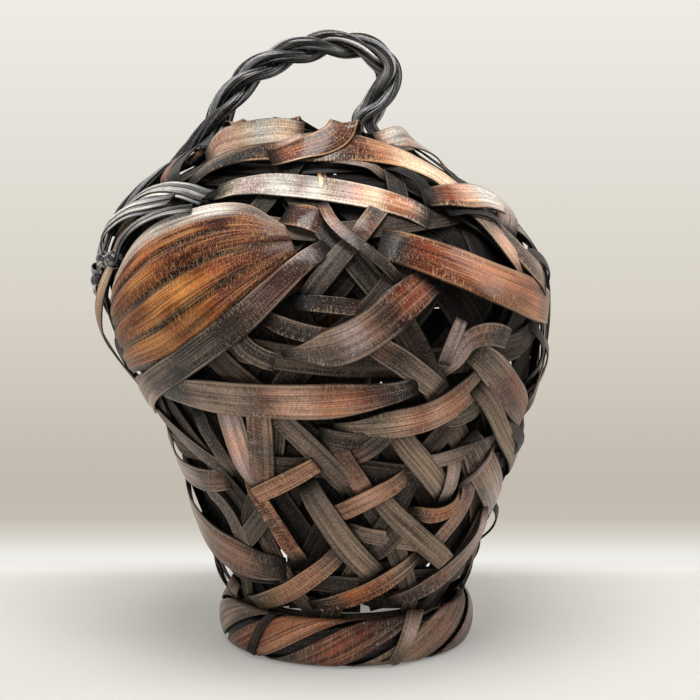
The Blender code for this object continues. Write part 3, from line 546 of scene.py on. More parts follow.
    rough = times_plus(less(fibre, 0.5), 0.35, inputs["Polish"])
    rough = times_plus(worn, 0.15, rough)
    rough = times_plus(inside, 0.3, rough)
    rough = times_plus(less(1.0, inputs["Light"]), 0.5, rough)
    height = times_plus(streak, 0.8, times(fibre, 0.5))
    height = times_plus(cross, -0.45, height)
    output = add_node(group, "NodeGroupOutput").inputs
    lacquer = times(inputs["Light"], inputs["Gloss"])
    for label, value in (("Colour", colour), ("Roughness", rough), ("Height", height), ("Lacquer", lacquer)):
        group.links.new(value, output[label])
    return group


grain_group = build_grain_group()
print("nodes in the grain group:", len(grain_group.nodes))

# %% [markdown]
# ## Finishes
# One recipe makes every bamboo finish. They differ in polish, in how strongly the fibres
# show, in how much is scuffed, and in the clear lacquer on top. The colour itself comes from
# the tone that each strip carries.


# %% Bamboo finishes
COAT_ROUGHNESS = 0.14


def bamboo_finish(name, fibre, scuffs, edge_wear_and_sheen, polish, scuff, coat=0.0, specular=0.5, bump=0.0002,
                  inner=(0.05, 0.042, 0.036), bloom=0.0):
    material = bpy.data.materials.new(name)
    material.use_nodes = True
    tree = material.node_tree
    shader = tree.nodes["Principled BSDF"]
    grain = add_node(tree, "ShaderNodeGroup", node_tree=grain_group)
    uv = add_node(tree, "ShaderNodeUVMap", uv_map="UVMap")
    strip = add_node(tree, "ShaderNodeAttribute", attribute_name="strip")
    tone = add_node(tree, "ShaderNodeAttribute", attribute_name="tone")
    tree.links.new(uv.outputs[0], grain.inputs["Coordinates"])
    tree.links.new(strip.outputs["Vector"], grain.inputs["Strip"])
    tree.links.new(tone.outputs["Color"], grain.inputs["Tone"])
    tree.links.new(tone.outputs["Alpha"], grain.inputs["Light"])
    grain.inputs["Inner Face"].default_value = (*inner, 1)
    grain.inputs["Scuff Colour"].default_value = (*scuff, 1)
    for label, value in (("Fibre", fibre), ("Scuffs", scuffs), ("Edge Wear And Sheen", edge_wear_and_sheen),
                         ("Polish", polish), ("Bloom", bloom), ("Gloss", coat)):
        grain.inputs[label].default_value = value
    relief = add_node(tree, "ShaderNodeBump", {
        "Strength": 1.0, "Distance": bump, "Height": grain.outputs["Height"]})
    tree.links.new(grain.outputs["Colour"], shader.inputs["Base Color"])
    tree.links.new(grain.outputs["Roughness"], shader.inputs["Roughness"])
    tree.links.new(relief.outputs[0], shader.inputs["Normal"])
    shader.inputs["Specular IOR Level"].default_value = specular
    tree.links.new(grain.outputs["Lacquer"], shader.inputs["Coat Weight"])
    shader.inputs["Coat Roughness"].default_value = COAT_ROUGHNESS
    return material


polished_finish = bamboo_finish(
    "polished chestnut skin", 0.80, 0.50, 0.9, 0.34, (0.56, 0.31, 0.15), coat=0.34, specular=0.13)
brown_finish = bamboo_finish(
    "brown skin", 0.85, 0.42, 0.9, 0.42, (0.42, 0.29, 0.20), coat=0.26, specular=0.16, bloom=0.07)
pale_finish = bamboo_finish(
    "rubbed pale skin", 0.55, 0.60, 1.0, 0.34, (0.78, 0.66, 0.52), coat=0.35, specular=0.20)
# The plait's near-black inner face is painted shade in its gaps.
grey_finish = bamboo_finish(
    "matt inner bamboo", 1.0, 0.34, 0.7, 0.48, (0.24, 0.19, 0.14), specular=0.18, bump=0.0003,
    inner=(0.020, 0.017, 0.015), bloom=0.12)
dark_finish = bamboo_finish(
    "black lacquered bamboo", 0.8, 0.10, 0.3, 0.42, (0.14, 0.115, 0.10), coat=0.12, specular=0.14,
    inner=(0.010, 0.009, 0.008))
splint_finish = bamboo_finish(
    "black splints", 0.9, 0.20, 0.9, 0.26, (0.24, 0.24, 0.24), coat=0.50, specular=0.30, bump=0.0003,
    inner=(0.008, 0.007, 0.007))
fan_finish = bamboo_finish(
    "pressed culm", 0.75, 0.60, 0.0, 0.36, (0.62, 0.31, 0.10), coat=0.14, specular=0.12)
print("nodes in a finish:", len(polished_finish.node_tree.nodes))

# %% [markdown]
# ## Laying strips
# A strip is a route over the wall. The helper spaces its points evenly, works out the frame
# at each, and hands the whole bundle to the node tree. The result is turned into a plain
# mesh, its faces are turned outwards, and the piece is tied to the frame.


# %% Strip paths
TUCK_REACH = 0.012
TUCK_DEPTH = 0.0026
ROUTE_SAMPLES = 300

# A strip's kind is a number that shifts its grain, so that no two strips look alike.
KINDS = {
    "wall hoop": 20.0, "close plait": 40.0, "neck lining": 52.0, "sweep": 60.0, "fan": 77.0, "front": 90.0,
    "back": 130.0, "rim": 150.0, "binding": 160.0, "handle": 170.0, "root band": 200.0, "lower band": 206.0,
    "wrap": 213.0, "knot": 220.0, "foot band": 240.0, "foot tie": 250.0, "foot core": 260.0,
    "base hoop": 270.0, "slat": 280.0, "tube": 290.0,
}


class Path:
    """A strip's points with all that the sweep needs."""

    def __init__(self, spots, outward, half_width, tones, kind, tilt=0.0, hidden=(0.0, 0.0), light=1.0):
        self.spots = np.asarray(spots, float)
        heading = unit(np.gradient(self.spots, axis=0))
        side = unit(np.cross(heading, outward))
        up = np.cross(side, heading)
        tilt = np.broadcast_to(tilt, len(self.spots))[:, None]
        self.side = np.cos(tilt) * side + np.sin(tilt) * up
        self.outward = np.cos(tilt) * up - np.sin(tilt) * side
        self.along = walked(self.spots)
        shares = self.along / self.along[-1]
        self.half_width = half_width(shares) if callable(half_width) else np.full(len(shares), half_width)
        self.tones = tones_along(tones, shares)
        self.light = np.full(len(self.along), light)
        # Hidden ends get painted shade: the light value, which darkens their colour, falls towards them.
        for reach, from_end in zip(hidden, (self.along, self.along[-1] - self.along)):
            if reach:
                self.light *= 0.06 + 0.94 * ease(from_end / reach)
        self.kind = kind


def even_route(route, spacing):
    """Shares of a route (turn, rise, out) that lie at even distances."""
    shares = np.linspace(0, 1, ROUTE_SAMPLES)
    along = walked(wall(*route(shares)))
    count = max(6, round(along[-1] / spacing))
    return np.interp(np.linspace(0, along[-1], count + 1), along, shares)


def wall_path(route, half_width, tones, kind, tilt=0.0, spacing=0.004, hidden=(0.0, 0.0),
              tuck=(0.0, 0.0), light=1.0):
    """A strip on the wall. Hidden ends get painted shade, and tucked ends dive between their neighbours."""
    shares = even_route(route, spacing)
    turn, rise, out = route(shares)
    if any(tuck):
        along = walked(wall(turn, rise, out))
        for depth, from_end in zip(tuck, (along, along[-1] - along)):
            out = out - depth * (1 - ease(from_end / TUCK_REACH))
    spots = wall(turn, rise, out)
    return Path(spots, wall_normal(turn, rise), half_width, tones, kind, tilt, hidden, light)


def tapered(width, ends):
    """Half the width of a strip that narrows towards its ends."""
    def at(shares):
        start, middle, end = ends
        near_start = start + (middle - start) * ease(3 * shares)
        near_end = end + (middle - end) * ease(3 * (1 - shares))
        return width / 2 * np.minimum(near_start, near_end)
    return at


def layer_out(layer):
    """Offset of a layer's inner face; layer 1 lies on the plait."""
    return PLAIT_OUT + LAYER_GAP + (layer - 1) * LAYER_STEP


def points_route(points):
    def route(shares):
        turn, rise, layer = follow(points, shares).T
        return turn, rise, layer_out(layer)
    return route


def pixel_route(points):
    return points_route([(*from_pixel(across, down), layer) for across, down, layer in points])


# %% Sweeping and finishing
def note_points(mesh, label, kind, field, values):
    """Store a value for every point of a mesh."""
    mesh.attributes.new(label, kind, "POINT").data.foreach_set(field, values.ravel())


def face_outwards(mesh):
    turned = bmesh.new()
    turned.from_mesh(mesh)
    bmesh.ops.recalc_face_normals(turned, faces=turned.faces)
    turned.to_mesh(mesh)
    turned.free()


def lay_strips(name, paths, finish, nodes=(), slot="brown_bamboo", body="basket", **sizes):
    """Sweep strips along their paths, make them one piece and tie it to the frame."""
    mesh = bpy.data.meshes.new(name)
    counts = [len(path.spots) for path in paths]
    starts = np.concatenate([[0], np.cumsum(counts)])
    edges = [(start + k, start + k + 1)
             for start, count in zip(starts, counts) for k in range(count - 1)]
    mesh.from_pydata(np.concatenate([path.spots for path in paths]).tolist(), edges, [])
    for label, kind, field, values in (
        ("side", "FLOAT_VECTOR", "vector", [path.side for path in paths]),
        ("outward", "FLOAT_VECTOR", "vector", [path.outward for path in paths]),
        ("half_width", "FLOAT", "value", [path.half_width for path in paths]),
        ("along", "FLOAT", "value", [path.along for path in paths]),
        ("kind", "FLOAT", "value", [np.full(len(path.spots), path.kind) for path in paths]),
        ("tone", "FLOAT_COLOR", "color", [np.hstack([path.tones, path.light[:, None]]) for path in paths]),
    ):
        note_points(mesh, label, kind, field, np.concatenate(values))
    piece = new_object(name, mesh)
    sweep = piece.modifiers.new("bamboo strip", "NODES")
    sweep.node_group = strip_tree
    sweep[strip_inputs["Material"]] = finish
    for label, value in sizes.items():
        sweep[strip_inputs[label.replace("_", " ").title()]] = value
    solid = bpy.data.meshes.new_from_object(piece.evaluated_get(bpy.context.evaluated_depsgraph_get()))
    piece.modifiers.remove(sweep)
    piece.data = solid
    piece.data.name = name
    face_outwards(solid)
    for label in ("side", "outward", "half_width", "along", "kind"):
        if label in solid.attributes:
            solid.attributes.remove(solid.attributes[label])
    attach(piece, body)
    if nodes:
        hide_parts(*nodes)
    return piece

# %% [markdown]
# ## The plait
# Seven strips climb to the right, seven to the left, and four hoops pass between them. Hand
# work is uneven, so one drift shifts every strip alike and the crossings stay in step. These
# strips stand for the plain solids of the frame; under the loose strips their colour is darkened
# as painted shade. Behind them lies a second, closer plait of the same splits, darker still with
# painted shade, which keeps the inside dark.

# %% Plait routes
PLAIT_STRIPS = 7
HOOP_COUNT = 4
HOOP_FIRST_SHARE = 0.14
HOOP_STEP_SHARE = 0.22
PLAIT_SLOPE_SHARE = 1 / (2 * PLAIT_STRIPS * HOOP_STEP_SHARE)
PLAIT_FOOT_SHARE = 0.012
PLAIT_TOP_SHARE = 0.985
PLAIT_WIDTH = 0.016
PLAIT_WIDTH_SHARES = np.array([(0.0, 0.60), (0.25, 0.80), (0.6, 1.0), (0.85, 0.80), (1.0, 0.50)])
# Painted shade: the plait lies under the loose strips, so its colour is darkened to this share.
PLAIT_LIGHT = 0.70
HOOP_TONES = "umber slate olive umber soot slate ash umber soot"
chance = np.random.default_rng(11)


def flat_wave(angle):
    """A wave with flat crests, so that a strip lies level over its neighbour."""
    return np.clip(1.5 * np.cos(angle), -1, 1)


def drift(turn, rise):
    """Unevenness of hand work, the same for every strip of the plait."""
    angle = 2 * math.pi * turn
    calm = np.sin(math.pi * np.clip(rise, 0, 1))
    moved_turn = np.array(turn, float)
    moved_rise = np.array(rise, float)
    for size, up, around, start in ((0.010, 1.3, 1, 0.15), (0.006, 2.1, 2, 0.60)):
        swing = np.sin(around * angle + 2 * math.pi * (up * rise + start))
        moved_turn = moved_turn + size * calm * swing
    for size, up, around, start in ((0.016, 0.5, 2, 0.35), (0.009, 1.1, 3, 0.80)):
        swing = np.sin(around * angle + 2 * math.pi * (up * rise + start))
        moved_rise = moved_rise + size * calm * swing
    return moved_turn, moved_rise


def plait_width(rise):
    return PLAIT_WIDTH * np.interp(rise, PLAIT_WIDTH_SHARES[:, 0], PLAIT_WIDTH_SHARES[:, 1])


def slanting_route(index, direction):
    start = index / PLAIT_STRIPS if direction > 0 else (index + 0.5) / PLAIT_STRIPS

    def route(shares):
        rise = PLAIT_FOOT_SHARE + shares * (PLAIT_TOP_SHARE - PLAIT_FOOT_SHARE)
        row = (rise - HOOP_FIRST_SHARE) / HOOP_STEP_SHARE
        turn = start + direction * PLAIT_SLOPE_SHARE * (rise - HOOP_FIRST_SHARE)
        out = PLAIT_SWING * (1 - direction * flat_wave(2 * math.pi * row))
        return (*drift(turn, rise), out)
    return route


def hoop_route(row):
    def route(shares):
        crossing = shares * 1.012 * PLAIT_STRIPS
        turn = (crossing + 0.5 * row) / PLAIT_STRIPS
        lap = 1.6 * STRIP * ease((shares - 0.975) / 0.025)
        out = PLAIT_SWING * (1 + flat_wave(2 * math.pi * crossing)) + lap
        return (*drift(turn, np.full_like(turn, HOOP_FIRST_SHARE + row * HOOP_STEP_SHARE)), out)
    return route


def plait_half_width(shares):
    return plait_width(PLAIT_FOOT_SHARE + shares * (PLAIT_TOP_SHARE - PLAIT_FOOT_SHARE)) / 2


# %% Lay the plait
# Worn grey-brown tones that go black towards each strip's far end (the top on the plait): painted shade.
WORN_AND_SHADED_TONES = ["umber ash slate umber umber soot black black", "soot olive slate umber soot soot black soot",
              "umber rose slate ash umber soot soot black", "soot slate olive slate slate black soot black",
              "chestnut umber ash umber umber soot black soot", "soot ash rose slate soot umber soot black"]
for direction, family in ((1, "rising"), (-1, "leaning")):
    for index in range(PLAIT_STRIPS):
        tones = WORN_AND_SHADED_TONES[(index * 2 + (direction > 0)) % len(WORN_AND_SHADED_TONES)]
        path = wall_path(slanting_route(index, direction), plait_half_width, tones,
                         index + 3.3 * direction, light=PLAIT_LIGHT)
        node = f"{family}_strip_{index + 1}"
        lay_strips(node + "_skin", [path], grey_finish, [node], "grey_bamboo")
for row in range(HOOP_COUNT):
    half = plait_width(HOOP_FIRST_SHARE + row * HOOP_STEP_SHARE) / 2
    path = wall_path(hoop_route(row), half, HOOP_TONES, KINDS["wall hoop"] + row, light=PLAIT_LIGHT)
    lay_strips(f"wall_hoop_{row + 1}_skin", [path], grey_finish, [f"wall_hoop_{row + 1}"], "grey_bamboo")

# %% The close plait behind
BACKING_STRIPS = 17
BACKING_SWING = 0.0008
BACKING_IN = -0.0032
# Painted shade: the close plait's near-black tones are darkened further to this share.
BACKING_LIGHT = 0.30
BACKING_TONES = ["soot soot black", "umber soot black", "black umber soot black", "soot black black"]


def backing_route(index, direction):
    start = index / BACKING_STRIPS if direction > 0 else (index + 0.5) / BACKING_STRIPS
    waver = chance.uniform(-0.006, 0.006)

    def route(shares):
        rise = 0.075 + shares * 0.845
        turn = start + waver + direction * PLAIT_SLOPE_SHARE * (rise - HOOP_FIRST_SHARE)
        row = (rise - HOOP_FIRST_SHARE) * 2 * BACKING_STRIPS * PLAIT_SLOPE_SHARE
        out = BACKING_IN + BACKING_SWING * (1 + direction * np.sin(math.pi * row))
        return (*drift(turn, rise), out)
    return route


for direction, family in ((1, "rising"), (-1, "leaning")):
    paths = []
    for index in range(BACKING_STRIPS):
        paths.append(wall_path(
            backing_route(index, direction), lambda shares: 1.3 * plait_half_width(shares),
            BACKING_TONES[index % 4], KINDS["close plait"] + index + 9 * direction, spacing=0.008,
            light=BACKING_LIGHT))
    lay_strips(f"close_plait_{family}", paths, grey_finish, slot="grey_bamboo", section_points=8)
print("plait strips laid:", 2 * PLAIT_STRIPS + HOOP_COUNT + 2 * BACKING_STRIPS)

# %% The neck lining
LINING_HALF_WIDTH = 0.0044
LINING_SHARES = [0.868, 0.892, 0.916, 0.938, 0.956]
LINING_OUTS = [-0.0012, -0.0004, -0.0014, -0.0002, -0.0014]
paths = []
for number, (rise, out) in enumerate(zip(LINING_SHARES, LINING_OUTS)):
    def lining_route(shares, number=number, rise=rise, out=out):
        turn = 0.37 * number + 1.02 * shares
        sway = 0.006 * np.sin(2 * math.pi * (2 * turn + 0.3 * number))
        return turn, rise + sway, out - 0.0011 * ease((shares - 0.97) / 0.02) + np.zeros_like(turn)
    tones = ["black soot umber soot black", "black soot black soot"][number % 2]
    # Light 0.6 darkens these hoops: painted shade inside the neck.
    paths.append(wall_path(lining_route, LINING_HALF_WIDTH, tones, KINDS["neck lining"] + number, light=0.6))
lay_strips("neck_lining", paths, dark_finish, slot="dark_bamboo", section_points=8)
print("hoops in the neck:", len(paths))

# %% [markdown]
# ## The sweeps
# Wide strips with their glossy skin outwards are thrown over the plait and give the basket
# its character. Their routes are those of the solids in the frame: turn, rise and layer at a
# few places. What is new here is the crowned section and the colour along them.

# %% Sweep table
SWEEP_WIDTH = 0.020
# The tones carry painted light too: black and soot where a strip lies in shade or goes under, and peach, cream,
# silver and lilac where it catches the lamps.
SWEEP_SHARES = {
    "mouth_strip": (1.0, (0.6, 1.0, 0.8),
                    "black black black soot umber lilac umber wine chestnut copper peach peach peach blush "
                    "copper umber soot umber ash rose",
                    [(-0.157, 0.871, 1.0), (-0.133, 0.922, 2.0), (-0.073, 0.963, 2.0), (0.011, 0.972, 2.0),
                     (0.075, 0.965, 2.0), (0.132, 0.932, 2.0), (0.160, 0.893, 1.6), (0.170, 0.853, 1.2),
                     (0.171, 0.798, 1.3), (0.173, 0.742, 2.0), (0.183, 0.691, 3.0), (0.205, 0.652, 3.0)]),
    "neck_strip": (0.95, (0.7, 1.0, 0.9),
                   "black olive lilac lilac silver silver lilac silver taupe lilac blush peach copper copper "
                   "rose umber",
                   [(-0.104, 0.856, 1.0), (-0.078, 0.870, 1.0), (-0.045, 0.878, 1.0), (0.010, 0.868, 1.0),
                    (0.056, 0.846, 1.0), (0.086, 0.820, 1.0), (0.106, 0.794, 1.0)]),
    "fan_keeper_strip": (0.80, (0.7, 1.0, 1.0),
                         "soot wine wine wine umber umber soot black soot umber umber taupe lilac silver",
                         [(0.010, 0.752, 1.0), (-0.011, 0.717, 2.4), (-0.031, 0.677, 3.0),
                          (-0.051, 0.639, 3.0), (-0.078, 0.596, 3.0), (-0.117, 0.545, 3.0),
                          (-0.172, 0.488, 3.0), (-0.205, 0.450, 2.0)]),
    "waist_sweep": (1.1, (0.6, 1.0, 0.5),
                    "umber umber soot umber ash ash taupe ash rose blush blush copper copper russet wine "
                    "black black",
                    [(-0.159, 0.501, 2.0), (-0.110, 0.501, 2.0), (-0.065, 0.501, 2.0),
                     (-0.026, 0.502, 2.0), (0.011, 0.507, 2.0), (0.041, 0.516, 2.0), (0.062, 0.526, 2.0)]),
    "waist_curve_right": (0.90, (0.25, 1.0, 0.6),
                          "slate olive ash taupe blush copper blush copper rose ash ash umber",
                          [(-0.004, 0.452, 1.0), (0.035, 0.455, 1.0), (0.072, 0.467, 1.0),
                           (0.101, 0.498, 1.0), (0.120, 0.535, 1.0), (0.126, 0.570, 1.0)]),
    "shoulder_strip_right": (1.2, (0.9, 1.0, 0.8),
                             "black soot russet russet russet amber amber copper copper copper copper russet "
                             "russet russet",
                             [(0.050, 0.755, 1.2), (0.076, 0.730, 2.0), (0.103, 0.704, 2.0),
                              (0.134, 0.672, 2.0), (0.175, 0.639, 2.0), (0.221, 0.610, 1.6)]),
    "shoulder_crescent": (1.1, (0.2, 1.0, 0.8),
                          "slate slate ash ash ash lilac lilac rose umber wine russet russet russet umber",
                          [(-0.030, 0.582, 1.0), (-0.004, 0.589, 1.0), (0.017, 0.603, 1.0),
                           (0.037, 0.629, 1.0), (0.055, 0.658, 1.0), (0.079, 0.690, 1.0)]),
    "side_loop_left": (0.75, (0.7, 1.0, 0.7), "rose rose cream gold soot black black umber",
                       [(-0.199, 0.805, 1.0), (-0.197, 0.745, 1.0), (-0.197, 0.690, 1.0),
                        (-0.204, 0.634, 3.2), (-0.219, 0.580, 4.6), (-0.225, 0.535, 3.6),
                        (-0.212, 0.470, 1.0), (-0.184, 0.448, 1.0)]),
    "side_strip_right": (1.0, (0.7, 1.0, 0.8), "umber ash russet rose rose",
                         [(0.105, 0.581, 2.0), (0.127, 0.540, 2.0), (0.155, 0.484, 2.0), (0.200, 0.415, 1.2)]),
    "lower_strip_right": (1.1, (0.7, 1.0, 0.7), "umber soot rose taupe lilac lilac rose",
                          [(0.110, 0.415, 1.0), (0.138, 0.350, 1.0), (0.180, 0.285, 1.0), (0.220, 0.235, 1.0)]),
    "lower_sweep_left": (1.3, (0.6, 1.0, 0.6), "umber ash taupe taupe ash rose rose umber umber",
                         [(-0.245, 0.300, 1.0), (-0.222, 0.240, 2.4), (-0.175, 0.201, 2.6),
                          (-0.125, 0.176, 1.6), (-0.070, 0.165, 1.0)]),
    "lower_strip_left": (0.85, (0.9, 1.0, 0.5), "ash lilac blush lilac ash",
                         [(-0.083, 0.500, 1.0), (-0.088, 0.440, 1.0), (-0.090, 0.381, 1.0), (-0.084, 0.315, 1.0)]),
    "foot_sweep_middle": (0.6, (0.6, 1.0, 0.7), "soot umber amber russet ash umber",
                          [(-0.046, 0.098, 1.0), (0.002, 0.116, 1.0), (0.044, 0.146, 1.0), (0.083, 0.192, 1.0)]),
    "foot_sweep_right": (0.65, (0.6, 1.0, 0.7), "wine umber rose ash lilac lilac",
                         [(0.052, 0.108, 2.0), (0.097, 0.128, 2.0), (0.140, 0.162, 2.0),
                          (0.171, 0.205, 2.0), (0.172, 0.262, 2.0)]),
    "back_shoulder_strip": (1.1, (0.8, 1.0, 0.8), "umber russet amber russet gold rose umber",
                            [(0.250, 0.700, 1.0), (0.330, 0.735, 1.0), (0.420, 0.715, 1.0),
                             (0.510, 0.730, 1.0), (0.590, 0.765, 1.0), (0.655, 0.740, 1.0)]),
    "back_waist_sweep": (1.0, (0.7, 1.0, 0.7), "umber rose russet ash rose umber",
                         [(0.270, 0.600, 1.0), (0.350, 0.545, 1.0), (0.440, 0.520, 1.0),
                          (0.540, 0.560, 1.0), (0.640, 0.630, 1.0)]),
    "back_lower_sweep": (0.9, (0.7, 1.0, 0.7), "umber chestnut russet amber umber",
                         [(0.290, 0.350, 1.0), (0.380, 0.270, 1.0), (0.480, 0.270, 1.0),
                          (0.580, 0.350, 1.0), (0.680, 0.440, 1.0)]),
    "back_foot_sweep": (0.6, (0.6, 1.0, 0.7), "umber russet rose umber",
                        [(0.330, 0.160, 1.0), (0.430, 0.115, 1.0), (0.530, 0.115, 1.0), (0.630, 0.165, 1.0)]),
}
SWEEP_FINISHES = {
    "mouth_strip": (polished_finish, "polished_bamboo"), "neck_strip": (pale_finish, "pale_bamboo"),
    "shoulder_strip_right": (polished_finish, "polished_bamboo"),
    "back_shoulder_strip": (polished_finish, "polished_bamboo"),
    "foot_sweep_middle": (polished_finish, "polished_bamboo"), "side_loop_left": (brown_finish, "dark_bamboo"),
}

# %% Lay the sweeps
HIDDEN_REACH = 0.011
# Over these reaches the ends get painted shade.
OPEN_ENDS = {"fan_keeper_strip": (0.014, 0.0), "shoulder_strip_right": (0.018, 0.006)}
for number, (node, (width, ends, tones, points)) in enumerate(SWEEP_SHARES.items()):
    finish, slot = SWEEP_FINISHES.get(node, (brown_finish, "brown_bamboo"))
    hidden = OPEN_ENDS.get(node, (HIDDEN_REACH, HIDDEN_REACH))
    tuck = [0.0015 * (reach > 0.01) for reach in hidden]
    path = wall_path(points_route(points), tapered(SWEEP_WIDTH * width, ends), tones,
                     KINDS["sweep"] + number, hidden=hidden, tuck=tuck)
    lay_strips(node + "_skin", [path], finish, [node], slot, crown=0.07)
print("sweeps laid:", len(SWEEP_SHARES))

# %% [markdown]
# ## Loose strips of the front
# Between the sweeps the photograph shows many short strips: slanting ones cut off square,
# folded stubs and thin splints. Each is laid by the pixels that its middle line passes. The
# third number is its layer, and widths are in millimetres.

